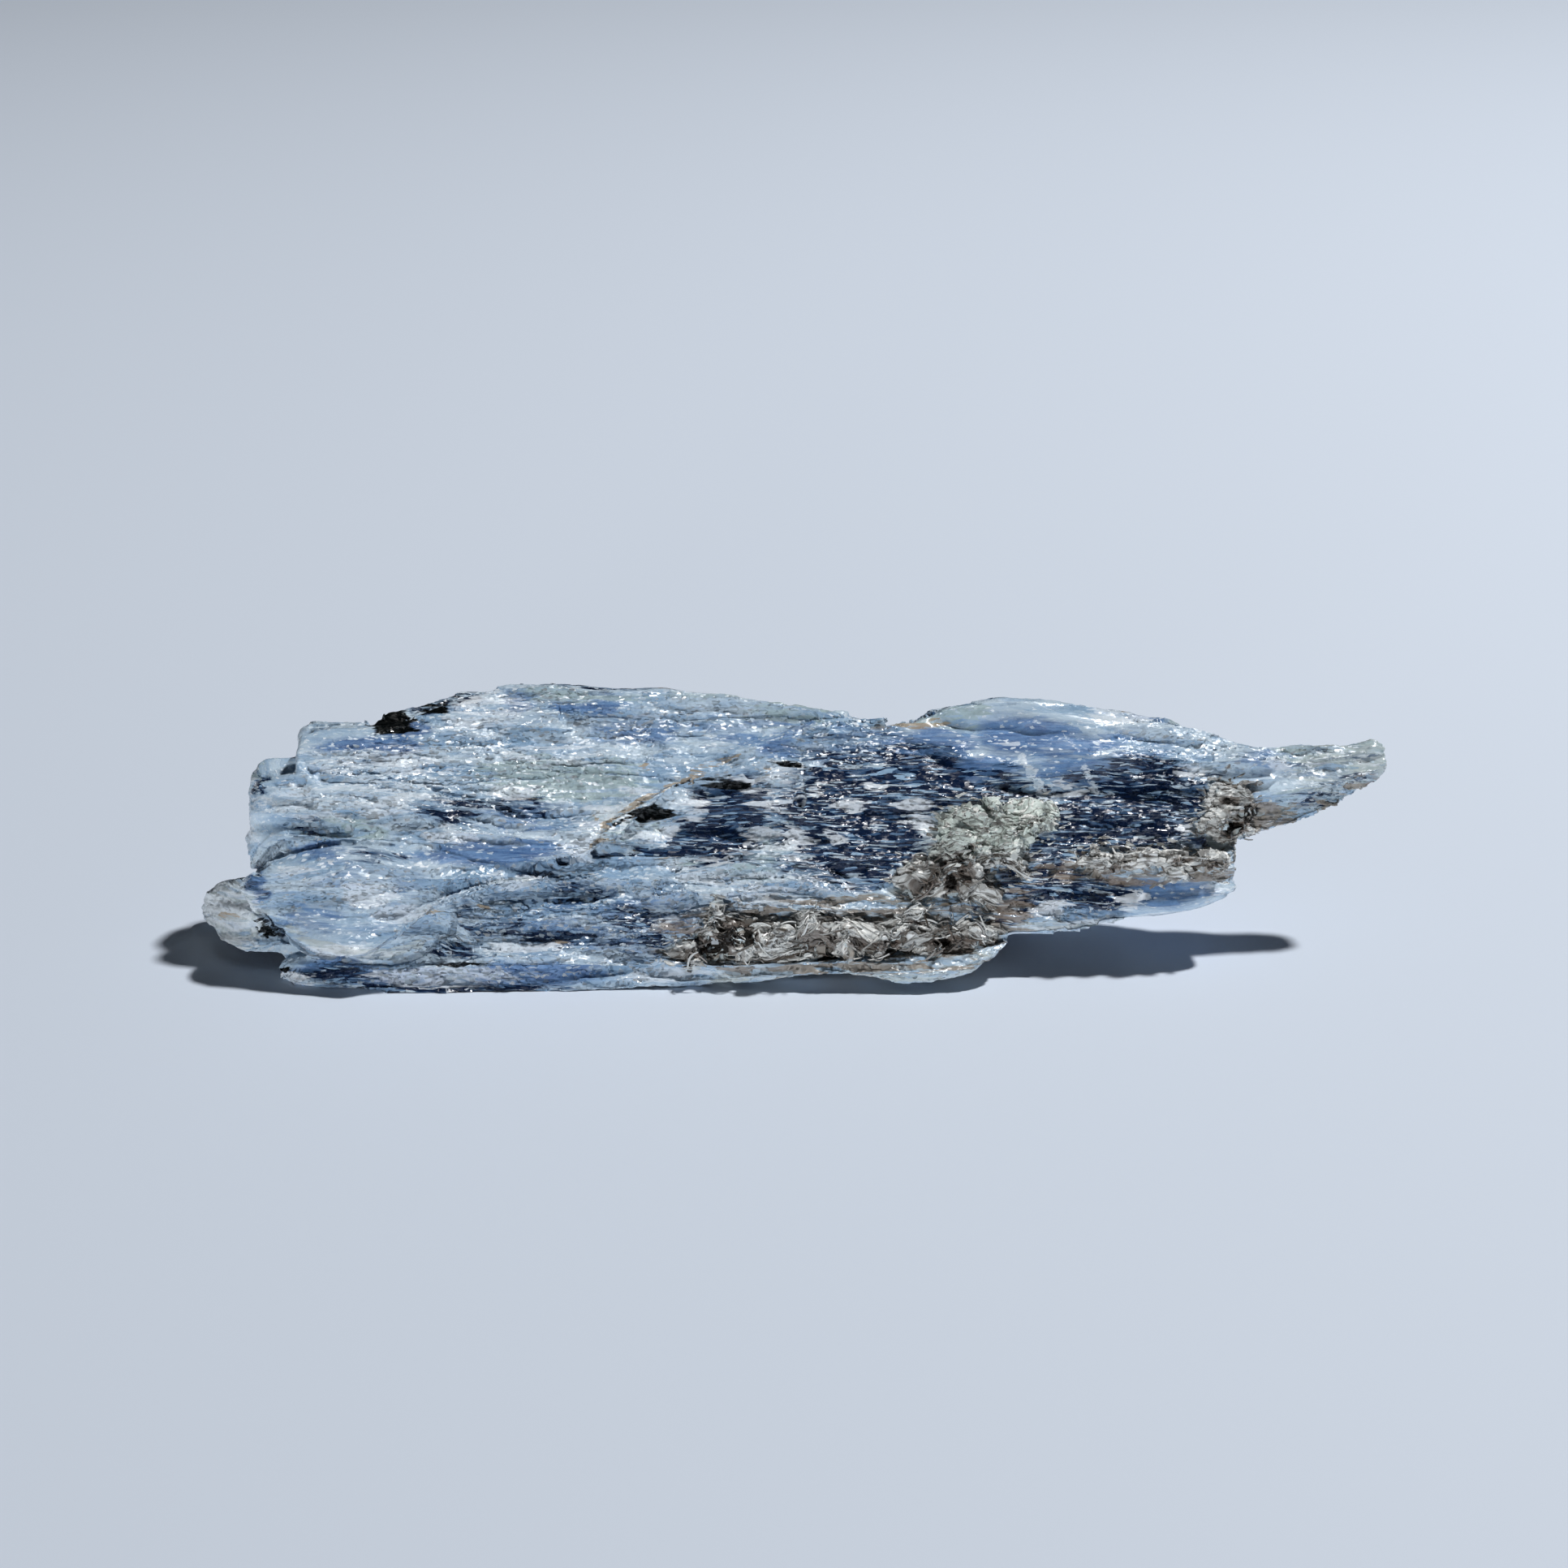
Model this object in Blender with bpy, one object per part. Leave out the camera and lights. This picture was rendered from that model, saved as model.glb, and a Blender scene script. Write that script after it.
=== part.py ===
"""Kyanite blade cluster: a hand-sized specimen of intergrown kyanite blades with mica grown into its face.

Every crystal is laid out square to the specimen's broad face, in millimetres:
    along   lengthwise, from the blunt left end (-) to the pointed right end (+)
    across  up the broad face
    deep    into the specimen, away from the broad face
The layout is then leaned back by LEAN, so that the specimen rests on its underside with +Z up.
"""

import math
from collections import namedtuple

import bmesh
import bpy
from mathutils import Matrix, Vector, noise

MM = 0.001

# Driving dimensions, in millimetres and degrees.
SPECIMEN_LENGTH = 91.8  # tip of the left stub to the tip of the right-hand blade
FACE_HEIGHT = 24.0  # tallest stretch of the broad face, measured up the lean
BODY_DEPTH = 14.0  # thickness of the blade mass behind the broad face
LEAN = math.radians(20.0)  # the broad face leans back this much from upright
REST_SHAVE = 0.35  # how much the lowest points are worn flat where the specimen rests
MICA_GAP = 0.32  # clearance between the mica and the pocket it sits in
BOOK_THICKNESS = 0.5
CRACK_WIDTH = 0.7
CRACK_DEPTH = 0.8

# How finely the blades are drawn.
FACE_PITCH = 2.3  # between the rings of the blades in the broad face
BACK_PITCH = 4.5  # and of the plainer blades behind it
FACE_STRIPS = (8, 2, 3, 2)  # lengthwise strips on a blade's front, top, back and underside
BACK_STRIPS = (3, 2, 5, 2)
KEPT_SHARE = 0.35  # of the joined blades' triangles, once flat stretches are thinned
SMALLEST_BODY = 0.5 * MM**3  # anything smaller is a crumb left by a join
SLIVER = 0.002 * MM
BLADE_CHAMFER = 0.55
END_BREAK = 0.5  # how far a broken end's corners stand out of line
PIT_LENGTH = 3.6  # of the cutter for a hollow, half of it in front of the mica

HALF = SPECIMEN_LENGTH / 2
TOP = FACE_HEIGHT
DEPTH = BODY_DEPTH

Section = namedtuple("Section", "along low high front_low front_high back")


def blended(sections, along):
    """The cross-section of a blade at one place along it, between the drawn sections."""
    for before, after in zip(sections, sections[1:]):
        if along <= after.along:
            share = (along - before.along) / (after.along - before.along)
            pairs = zip(before, after)
            return Section(*(a + (b - a) * share for a, b in pairs))
    return sections[-1]


def ring_places(sections, pitch):
    """Every drawn section, with more places between them, about a pitch apart."""
    places = [sections[0].along]
    for before, after in zip(sections, sections[1:]):
        gap = after.along - before.along
        count = max(1, round(gap / pitch))
        places += [before.along + gap * (i + 1) / count for i in range(count)]
    return places


def side_points(start, end, count):
    """Points along one side of a section, stopping short of its corners by the chamfer."""
    length = math.dist(start, end)
    cut = min(BLADE_CHAMFER, length * 0.3) / max(length, 1e-6)
    shares = [cut + (1 - 2 * cut) * i / max(count - 1, 1) for i in range(count)]
    return [
        (start[0] + (end[0] - start[0]) * s, start[1] + (end[1] - start[1]) * s)
        for s in shares
    ]


def ledge(along, strip, seed, relief):
    """How far a lengthwise strip stands proud: a slow wave, plus ledges that end abruptly."""
    wave = noise.noise(Vector((along / 9.0, strip * 7.3, seed)))
    step = noise.cell(Vector((along / 8.0 + strip * 0.37, strip * 3.1, seed + 40.0)))
    return relief * (0.6 * wave + 1.1 * (step - 0.5))


def ring(section, along, strips, seed, relief, undercut):
    """(across, deep) points round a blade's section, with its lengthwise strips raised or sunk."""
    rise = (section.back - section.front_low) * math.tan(LEAN) + undercut
    low_back = min(section.low + rise, section.low + (section.high - section.low) * 0.7)
    high_back = section.high - 0.10 * (section.high - section.low)
    corners = [
        (section.low, section.front_low),
        (section.high, section.front_high),
        (high_back, section.back),
        (low_back, section.back),
    ]
    points, strip = [], 0
    for side, count in enumerate(strips):
        start, end = corners[side], corners[(side + 1) % 4]
        length = max(math.dist(start, end), 1e-6)
        outward = (
            (end[1] - start[1]) / length,
            -(end[0] - start[0]) / length,
        )
        share = 1.0 if side in (0, 2) else 0.45
        for across, deep in side_points(start, end, count):
            out = ledge(along, strip, seed, relief) * share * min(1.0, length / 4.0)
            points.append((across + outward[0] * out, deep + outward[1] * out))
            strip += 1
    return points


def loft_blade(sections, pitch, strips, seed, relief=0.65, undercut=0.2):
    """A closed blade lofted through its sections, as a bmesh in millimetres."""
    mesh = bmesh.new()
    rings = []
    places = ring_places(sections, pitch)
    for place in places:
        points = ring(blended(sections, place), place, strips, seed, relief, undercut)
        at_end = place in (places[0], places[-1])
        verts = []
        for corner, (across, deep) in enumerate(points):
            shift = noise.noise(Vector((corner * 1.7, seed * 2.3, place))) if at_end else 0.0
            verts.append(mesh.verts.new((place + shift * END_BREAK, across, deep)))
        rings.append(verts)
    size = len(rings[0])
    for first, second in zip(rings, rings[1:]):
        for corner in range(size):
            after = (corner + 1) % size
            mesh.faces.new((first[corner], first[after], second[after], second[corner]))
    for verts, turned in ((rings[0], True), (rings[-1], False)):
        middle = mesh.verts.new(sum((v.co for v in verts), Vector()) / size)
        for corner in range(size):
            pair = (verts[corner], verts[(corner + 1) % size])
            mesh.faces.new((*reversed(pair), middle) if turned else (*pair, middle))
    bmesh.ops.recalc_face_normals(mesh, faces=mesh.faces)
    bmesh.ops.triangulate(mesh, faces=mesh.faces)
    return mesh


def leaned(mesh):
    """Turns a layout bmesh (along, across, deep in mm) into the resting pose, in metres."""
    up_the_face = Vector((0, math.sin(LEAN), math.cos(LEAN)))
    into_the_rock = Vector((0, math.cos(LEAN), -math.sin(LEAN)))
    turn = Matrix(
        (
            (1, up_the_face.x, into_the_rock.x),
            (0, up_the_face.y, into_the_rock.y),
            (0, up_the_face.z, into_the_rock.z),
        )
    ).to_4x4()
    mesh.transform(Matrix.Scale(MM, 4) @ turn)
    mesh.normal_update()
    bmesh.ops.recalc_face_normals(mesh, faces=mesh.faces)
    return mesh


def bottom_rail():
    """The dark blue blade that the whole specimen stands on, along the bottom left."""
    return [
        Section(-HALF + 7.4, 1.3, 2.9, 2.2, 2.6, 6.0),
        Section(-HALF + 8.6, 0.6, 3.2, 1.3, 1.9, 7.5),
        Section(-HALF + 11, 0.35, 3.0, 0.7, 1.4, 8.0),
        Section(-HALF + 18, 0.25, 3.0, 0.4, 1.1, 7.5),
        Section(-HALF + 28, 0.25, 3.2, 0.4, 1.1, 7.0),
        Section(-HALF + 34, 0.55, 3.2, 0.6, 1.2, 7.5),
        Section(-HALF + 40, 1.0, 2.8, 1.2, 1.6, 7.0),
    ]


def lower_body():
    """The broad lower mass between the rail and the upper plate."""
    return [
        Section(-HALF + 9.5, 3.0, 9.2, 2.2, 3.2, 11.0),
        Section(-HALF + 14, 2.7, 10.0, 1.0, 2.5, DEPTH - 1),
        Section(-HALF + 26, 2.7, 10.4, 0.8, 2.6, DEPTH),
        Section(-HALF + 36, 2.7, 10.8, 0.9, 2.8, DEPTH),
        Section(-HALF + 46, 3.6, 11.5, 1.7, 3.4, DEPTH),
        Section(HALF - 34, 5.0, 12.5, 2.4, 3.8, DEPTH - 1),
        Section(HALF - 24, 5.8, 13.0, 3.0, 4.2, DEPTH - 1.8),
        Section(HALF - 15, 6.6, 13.0, 3.8, 4.8, 11.0),
        Section(HALF - 12, 8.0, 12.0, 4.6, 5.2, 9.0),
    ]


def dark_heart():
    """The sunken navy middle of the broad face."""
    return [
        Section(-16.5, 9.0, 13.0, 3.6, 4.4, DEPTH - 0.5),
        Section(-11.5, 8.8, 16.4, 3.8, 5.0, DEPTH - 0.5),
        Section(-6.0, 8.4, 19.0, 3.6, 5.8, DEPTH - 0.5),
        Section(2.0, 8.2, 21.2, 3.4, 6.7, DEPTH - 0.5),
        Section(10.0, 8.2, 21.3, 3.5, 6.7, DEPTH - 1),
        Section(20.0, 8.2, 19.0, 3.7, 6.4, DEPTH - 1.5),
        Section(28.0, 8.8, 18.0, 4.2, 6.2, DEPTH - 2.5),
        Section(34.0, 10.6, 16.6, 5.0, 6.4, DEPTH - 4),
    ]


def upper_plate():
    """The raised pale plate at the upper left. Its lower right edge is the rusty step."""
    return [
        Section(-HALF + 8.2, 16.9, 19.8, 4.6, 5.8, 10.0),
        Section(-HALF + 10, 14.0, 20.3, 3.6, 6.0, 11.0),
        Section(-HALF + 15.5, 10.9, 20.6, 2.3, 6.2, 12.0),
        Section(-HALF + 19.8, 10.2, 22.7, 2.0, 6.9, 12.5),
        Section(-HALF + 24, 10.1, TOP, 1.9, 7.6, 13.0),
        Section(-HALF + 29, 10.3, 24.0, 2.0, 7.8, 13.0),
        Section(-13.5, 11.4, 23.7, 2.5, 7.8, 13.0),
        Section(-9.5, 15.4, 23.8, 4.0, 8.0, 13.0),
        Section(-5.5, 17.6, 23.6, 4.9, 8.2, 13.0),
        Section(-2.0, 18.9, 22.9, 5.5, 8.2, 12.5),
        Section(3.0, 19.6, 22.0, 6.0, 8.0, 12.0),
        Section(7.5, 20.0, 21.9, 6.2, 7.8, 11.0),
    ]


def keel():
    """The blade behind the rail, which backs it and the mica seam."""
    return [
        Section(-36.0, 2.2, 5.6, 3.2, 3.8, 9.0),
        Section(-31.0, 1.9, 6.4, 2.4, 3.4, 10.5),
        Section(-16.0, 1.6, 6.6, 2.2, 3.2, 11.5),
        Section(0.0, 1.4, 6.6, 2.2, 3.2, 11.5),
        Section(9.0, 1.7, 6.6, 2.2, 3.2, 11.0),
        Section(14.0, 2.8, 6.4, 2.6, 3.4, 9.5),
    ]


def left_slab():
    """The slab under the upper plate that reaches furthest left, below the notch in the top edge."""
    return [
        Section(-HALF + 4.7, 11.8, 15.9, 4.8, 5.4, 8.5),
        Section(-HALF + 5.4, 10.7, 16.7, 4.0, 4.9, 9.5),
        Section(-HALF + 8.0, 10.2, 17.2, 3.2, 4.4, 10.5),
        Section(-HALF + 14, 9.8, 17.0, 2.3, 3.8, 11.0),
        Section(-HALF + 20, 9.8, 15.4, 1.7, 3.0, 10.0),
        Section(-HALF + 26, 10.0, 13.8, 1.6, 2.4, 8.0),
        Section(-HALF + 31, 10.9, 12.4, 2.2, 2.6, 6.0),
    ]


def back_left_blades():
    """Three blunt blade ends behind the left slab."""
    top = [
        Section(-HALF + 7.8, 18.4, 20.3, 9.0, 9.4, 12.0),
        Section(-HALF + 8.6, 17.2, 21.0, 8.2, 9.0, 13.0),
        Section(-HALF + 13, 15.6, 21.1, 7.8, 8.8, 13.5),
        Section(-HALF + 20, 14.6, 20.8, 8.0, 9.0, 13.5),
    ]
    middle = [
        Section(-HALF + 4.2, 14.9, 17.0, 7.6, 8.0, 10.5),
        Section(-HALF + 5.1, 13.4, 18.4, 6.5, 7.4, 11.5),
        Section(-HALF + 8.6, 12.4, 18.9, 6.0, 7.2, 12.5),
        Section(-HALF + 16, 11.0, 18.5, 6.0, 7.0, 13.0),
    ]
    low = [
        Section(-HALF + 4.1, 11.0, 12.4, 6.8, 7.0, 9.0),
        Section(-HALF + 4.7, 10.3, 13.3, 6.0, 6.5, 10.0),
        Section(-HALF + 8.9, 9.6, 13.8, 4.8, 6.0, 12.0),
        Section(-HALF + 15, 8.6, 13.5, 5.0, 6.0, 13.0),
    ]
    return [top, middle, low]


def front_lobe():
    """The rounded tongue at the lower left, the part that stands furthest forward."""
    return [
        Section(-HALF + 4.4, 8.0, 9.3, 2.8, 3.0, 5.0),
        Section(-HALF + 5.1, 6.6, 9.9, 1.7, 2.3, 6.0),
        Section(-HALF + 7.0, 4.9, 10.7, 0.7, 1.6, 7.0),
        Section(-HALF + 9.2, 3.3, 11.4, -0.1, 1.2, 8.0),
        Section(-HALF + 11.6, 2.6, 11.8, -0.5, 1.0, 8.0),
        Section(-HALF + 14.2, 3.0, 11.9, -0.4, 1.1, 8.0),
        Section(-HALF + 16.6, 4.4, 11.6, 0.0, 1.2, 7.0),
        Section(-HALF + 19.6, 6.8, 10.9, 0.5, 1.3, 6.0),
        Section(-HALF + 23.6, 8.2, 10.2, 1.1, 1.6, 5.0),
        Section(-HALF + 27.6, 8.8, 9.6, 1.6, 1.8, 4.0),
    ]


def left_stub():
    """The short blunt blade end at the far left, which rounds off backwards down to the ground."""
    return [
        Section(-HALF, 5.5, 7.0, 11.6, 12.0, 13.4),
        Section(-HALF + 0.6, 4.5, 8.2, 9.8, 10.6, 13.6),
        Section(-HALF + 1.8, 3.7, 9.1, 7.6, 8.8, 13.4),
        Section(-HALF + 4.0, 2.9, 9.4, 5.0, 6.4, 12.6),
        Section(-HALF + 7.0, 2.7, 9.4, 3.6, 5.0, 11.5),
        Section(-HALF + 12, 2.7, 9.2, 3.4, 4.8, 11.5),
    ]


def bottom_ledge():
    """The pale ledge along the bottom, under the mica seam, with a rounded right end."""
    return [
        Section(-10.0, 1.2, 3.4, 1.0, 1.5, 8.5),
        Section(-5.0, 1.15, 3.1, 0.6, 1.2, 9.5),
        Section(3.0, 1.5, 3.5, 0.1, 0.9, 10.5),
        Section(10.5, 1.4, 3.8, 0.0, 0.9, 11.0),
        Section(13.6, 2.0, 4.2, 0.3, 1.2, 10.0),
        Section(15.4, 3.1, 4.6, 0.9, 1.6, 8.5),
        Section(16.4, 3.9, 5.0, 1.6, 2.0, 6.5),
    ]


def pale_shelf():
    """The pale shelf low on the middle of the face, left of the mica knot."""
    return [
        Section(-10.5, 7.4, 9.6, 1.4, 2.3, 6.0),
        Section(-4.0, 6.7, 10.9, 0.8, 2.1, 6.5),
        Section(1.2, 6.6, 10.9, 0.8, 2.2, 6.5),
        Section(5.0, 6.4, 9.2, 1.3, 2.4, 6.5),
        Section(12.0, 6.2, 7.8, 2.0, 2.6, 6.0),
    ]


def upper_hump():
    """The glassy blue blade that rises at the upper right."""
    return [
        Section(9.5, 19.2, 21.4, 6.6, 7.6, 10.0),
        Section(12.5, 17.8, 22.7, 5.6, 8.0, 11.0),
        Section(16.5, 17.0, 23.4, 5.2, 8.4, 12.0),
        Section(21.0, 16.6, 23.1, 5.2, 8.2, 12.0),
        Section(26.0, 16.0, 22.2, 5.2, 8.0, 11.5),
        Section(30.0, 15.6, 21.4, 5.4, 7.8, 11.0),
        Section(33.2, 15.6, 20.0, 5.4, 7.6, 10.5),
        Section(37.5, 16.2, 18.8, 6.0, 7.4, 10.0),
    ]


def right_tail():
    """The long blade that ends the specimen on the right in a blunt, broken tip."""
    return [
        Section(HALF - 17, 10.8, 19.4, 5.3, 7.0, 11.0),
        Section(HALF - 12, 11.1, 19.5, 5.4, 7.2, 11.0),
        Section(HALF - 9.5, 12.0, 19.3, 5.6, 7.2, 10.8),
        Section(HALF - 6.5, 13.2, 19.3, 6.0, 7.3, 10.4),
        Section(HALF - 3.4, 14.6, 19.5, 6.4, 7.4, 10.2),
        Section(HALF - 1.0, 15.9, 19.9, 6.8, 7.6, 10.0),
        Section(HALF, 17.0, 19.4, 7.3, 7.7, 9.4),
    ]


def lower_right_blade():
    """The blue blade under the right-hand end, clear of the ground."""
    return [
        Section(12.0, 4.9, 9.0, 2.2, 3.2, 9.0),
        Section(18.0, 4.6, 9.8, 2.4, 3.6, 9.0),
        Section(24.0, 5.1, 10.2, 2.8, 3.9, 9.0),
        Section(28.0, 5.5, 10.2, 3.1, 4.1, 9.0),
        Section(31.2, 6.5, 10.0, 3.6, 4.4, 8.6),
        Section(33.0, 7.2, 9.6, 4.0, 4.6, 8.0),
        Section(33.7, 7.6, 9.0, 4.3, 4.8, 7.4),
    ]


def right_shelf():
    """The ragged ledge above it, which carries brown mica."""
    return [
        Section(20.0, 9.0, 11.6, 3.2, 4.0, 9.0),
        Section(30.0, 8.8, 11.5, 3.4, 4.2, 9.0),
        Section(33.0, 8.8, 11.2, 3.8, 4.4, 8.6),
        Section(33.8, 9.2, 10.8, 4.2, 4.6, 7.6),
    ]


def back_blades():
    """Four long blades that make the specimen's hidden back."""
    upper = [
        Section(-31.0, 13.5, 19.5, 9.0, 9.0, 14.0),
        Section(-20.0, 12.5, 22.0, 9.0, 9.0, DEPTH + 1.2),
        Section(-4.0, 12.0, 21.6, 9.0, 9.0, DEPTH + 1.6),
        Section(12.0, 12.4, 20.8, 9.0, 9.0, DEPTH + 0.8),
        Section(24.0, 13.0, 19.5, 8.5, 8.5, DEPTH - 1.2),
        Section(31.0, 14.5, 18.0, 8.0, 8.0, DEPTH - 3),
    ]
    lower = [
        Section(-35.0, 5.0, 12.0, 9.0, 9.0, 14.5),
        Section(-24.0, 4.4, 13.5, 9.0, 9.0, DEPTH + 2.4),
        Section(-8.0, 4.4, 14.0, 9.0, 9.0, DEPTH + 3.0),
        Section(6.0, 4.6, 13.6, 9.0, 9.0, DEPTH + 2.2),
        Section(16.0, 5.2, 12.4, 8.5, 8.5, DEPTH + 0.4),
        Section(22.0, 6.6, 11.0, 8.0, 8.0, DEPTH - 2),
    ]
    foot = [
        Section(-31.0, 3.6, 7.4, 8.0, 8.0, 15.4),
        Section(-24.0, 2.6, 8.4, 8.0, 8.0, 17.0),
        Section(-10.0, 2.5, 8.6, 8.0, 8.0, 17.6),
        Section(2.0, 2.6, 8.2, 8.0, 8.0, 17.0),
        Section(9.0, 4.0, 7.4, 8.0, 8.0, 15.0),
    ]
    splint = [
        Section(2.0, 9.6, 14.4, 10.0, 10.0, 15.6),
        Section(9.0, 9.0, 15.0, 10.0, 10.0, DEPTH + 2.4),
        Section(18.0, 9.4, 15.2, 9.5, 9.5, DEPTH + 1.2),
        Section(27.0, 10.4, 14.4, 9.0, 9.0, DEPTH - 1),
        Section(36.0, 12.0, 14.8, 8.0, 8.0, DEPTH - 3.4),
    ]
    return [upper, lower, foot, splint]


def top_back_slivers():
    """The thin dark sliver and the small grey knob behind the top edge."""
    dark = [
        Section(-32.2, 20.2, 21.0, 8.0, 8.2, 11.0),
        Section(-31.2, 19.4, 21.7, 7.6, 8.0, 12.0),
        Section(-28.6, 18.8, 22.4, 7.4, 8.2, 12.5),
        Section(-25.8, 18.6, 23.5, 7.6, 8.8, 12.5),
        Section(-20.0, 18.6, 23.6, 8.0, 9.2, 12.5),
    ]
    knob = [
        Section(10.0, 19.8, 21.4, 10.0, 10.2, 12.4),
        Section(10.9, 19.2, 22.2, 9.4, 9.8, 13.0),
        Section(14.2, 18.8, 22.7, 9.2, 9.8, 13.0),
        Section(17.0, 18.8, 22.0, 9.2, 9.8, 12.6),
    ]
    return [dark, knob]


def face_blades():
    """The blades that make the broad face, and the ends beside it."""
    single = [
        lower_body(),
        bottom_rail(),
        keel(),
        dark_heart(),
        upper_plate(),
        left_slab(),
        front_lobe(),
        left_stub(),
        bottom_ledge(),
        pale_shelf(),
        upper_hump(),
        right_tail(),
        lower_right_blade(),
        right_shelf(),
    ]
    return single + back_left_blades() + top_back_slivers()


Lump = namedtuple("Lump", "along across deep long wide thick")


def grain_mesh(lump, grow, seed):
    """One knobbly grain of mica, larger all round by grow."""
    mesh = bmesh.new()
    bmesh.ops.create_icosphere(mesh, subdivisions=1, radius=1.0)
    half = Vector((lump.long / 2 + grow, lump.wide / 2 + grow, lump.thick / 2 + grow))
    centre = Vector((lump.along, lump.across, lump.deep))
    for vert in mesh.verts:
        knob = 1.0 + 0.30 * noise.noise(vert.co * 1.6 + Vector((seed, 0, seed * 0.7)))
        vert.co = centre + Vector(c * h * knob for c, h in zip(vert.co, half))
    return mesh


def book_mesh(centre, tilt, radius, grow):
    """One six-sided book of mica, standing out of the grain it grew on."""
    mesh = bmesh.new()
    bmesh.ops.create_cone(
        mesh,
        cap_ends=True,
        segments=6,
        radius1=radius + grow,
        radius2=radius * 0.75 + grow,
        depth=BOOK_THICKNESS + 2 * grow,
        matrix=Matrix.Translation(centre) @ tilt,
    )
    return mesh


def mica_meshes(lumps, books_each, grow, seed):
    """The grains of one mass of mica, and the books that stand out of their front."""
    meshes = []
    for number, lump in enumerate(lumps):
        meshes.append(grain_mesh(lump, grow, seed + number * 3.7))
        for book in range(books_each):
            angle = book * 2.4 + number * 1.3 + seed
            spread = 0.25 + 0.5 * book / max(books_each - 1, 1)
            across = math.sin(angle) * spread
            along = math.cos(angle) * spread
            bulge = math.sqrt(max(0.0, 1 - (across**2 + along**2)))
            centre = Vector(
                (
                    lump.along + along * lump.long / 2,
                    lump.across + across * lump.wide / 2,
                    lump.deep - bulge * lump.thick / 2 * 0.9,
                )
            )
            turn = Matrix.Rotation(math.sin(angle * 3.1) * 1.1, 4, "X")
            turn @= Matrix.Rotation(math.cos(angle * 1.7) * 1.2, 4, "Y")
            turn @= Matrix.Rotation(angle, 4, "Z")
            radius = 0.22 * min(lump.long, lump.wide) + 0.45
            meshes.append(book_mesh(centre, turn, radius, grow))
    return meshes


def mica_knot():
    """The grey-green knot right of the middle, widest at its top."""
    return [
        Lump(15.2, 12.9, 5.0, 9.2, 3.8, 4.4),
        Lump(18.3, 13.6, 5.4, 4.4, 2.8, 3.8),
        Lump(13.2, 10.9, 4.5, 5.6, 3.4, 4.2),
        Lump(16.0, 11.0, 4.9, 4.4, 3.0, 3.4),
        Lump(10.6, 9.0, 3.9, 5.4, 2.9, 3.6),
        Lump(14.0, 8.4, 4.0, 4.2, 2.6, 3.2),
    ]


def mica_seam():
    """The brown seam along the bottom, above the pale ledge."""
    return [
        Lump(-7.2, 3.6, 3.0, 4.6, 2.4, 3.6),
        Lump(-4.6, 4.9, 2.8, 5.4, 3.4, 4.0),
        Lump(-1.2, 4.3, 2.6, 5.2, 4.0, 4.2),
        Lump(1.6, 5.3, 2.8, 4.6, 3.0, 3.8),
        Lump(4.8, 4.7, 2.6, 5.8, 3.2, 4.0),
        Lump(8.4, 5.1, 2.8, 5.0, 2.8, 3.8),
        Lump(10.8, 4.3, 2.9, 4.6, 3.0, 4.0),
        Lump(13.8, 4.7, 3.2, 4.4, 2.4, 3.4),
    ]


def mica_tip():
    """The brown mica at the root of the right-hand blade."""
    return [
        Lump(33.6, 14.8, 7.1, 4.2, 3.6, 3.2),
        Lump(34.9, 13.3, 7.3, 3.2, 2.4, 2.8),
        Lump(32.4, 13.2, 6.5, 3.0, 2.4, 2.6),
    ]


def mica_shelf():
    """The brown mica along the right-hand shelf."""
    return [
        Lump(23.6, 10.3, 4.1, 3.8, 1.8, 2.6),
        Lump(26.6, 10.5, 4.1, 4.4, 2.0, 2.6),
        Lump(29.4, 10.2, 4.3, 4.2, 2.2, 2.8),
        Lump(31.8, 10.5, 4.6, 3.0, 2.0, 2.6),
    ]


MICA_MASSES = {
    "mica_knot": (mica_knot, 3, 3.0),
    "mica_seam": (mica_seam, 2, 11.0),
    "mica_tip": (mica_tip, 3, 23.0),
    "mica_shelf": (mica_shelf, 2, 31.0),
}


Crack = namedtuple("Crack", "along low high slant low_deep high_deep")

# Where a blade has snapped across, from low to high on the face. Slant leans the top to the right.
CROSS_CRACKS = [
    Crack(0.7, 14.6, 20.6, 0.0, 5.0, 6.2),
    Crack(18.6, 14.8, 18.4, 1.4, 5.3, 5.9),
    Crack(23.2, 15.2, 17.6, 0.8, 5.5, 5.8),
    Crack(-25.6, 3.4, 6.6, -0.6, 1.1, 1.8),
]


def crack_mesh(crack):
    """A V-shaped groove across a blade, cut from in front of the face."""
    mesh = bmesh.new()
    mouth = CRACK_WIDTH * 2  # the V is as wide as this where it starts, well clear of the face
    reach = CRACK_DEPTH * 3
    rows = []
    ends = ((crack.low, 0.0, crack.low_deep), (crack.high, crack.slant, crack.high_deep))
    for across, shift, deep in ends:
        middle = crack.along + shift
        row = [
            mesh.verts.new((middle - mouth, across, deep - reach)),
            mesh.verts.new((middle + mouth, across, deep - reach)),
            mesh.verts.new((middle, across, deep + CRACK_DEPTH)),
        ]
        rows.append(row)
    for corner in range(3):
        after = (corner + 1) % 3
        mesh.faces.new((rows[0][corner], rows[0][after], rows[1][after], rows[1][corner]))
    mesh.faces.new(rows[0])
    mesh.faces.new(rows[1])
    bmesh.ops.recalc_face_normals(mesh, faces=mesh.faces)
    return mesh


Hollow = namedtuple("Hollow", "mass along across front radius")

# Dark hollows where mica has fallen out.
HOLLOWS = [
    Hollow("mica_seam", -5.9, 4.2, 0.6, 0.8),
    Hollow("mica_seam", -5.3, 5.6, 1.0, 0.7),
    Hollow("mica_seam", 3.3, 4.8, 0.5, 0.7),
    Hollow("mica_seam", 11.4, 4.5, 0.8, 0.8),
    Hollow("mica_knot", 12.4, 9.2, 2.3, 0.7),
    Hollow("mica_knot", 13.6, 11.3, 2.2, 0.6),
]


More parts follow.
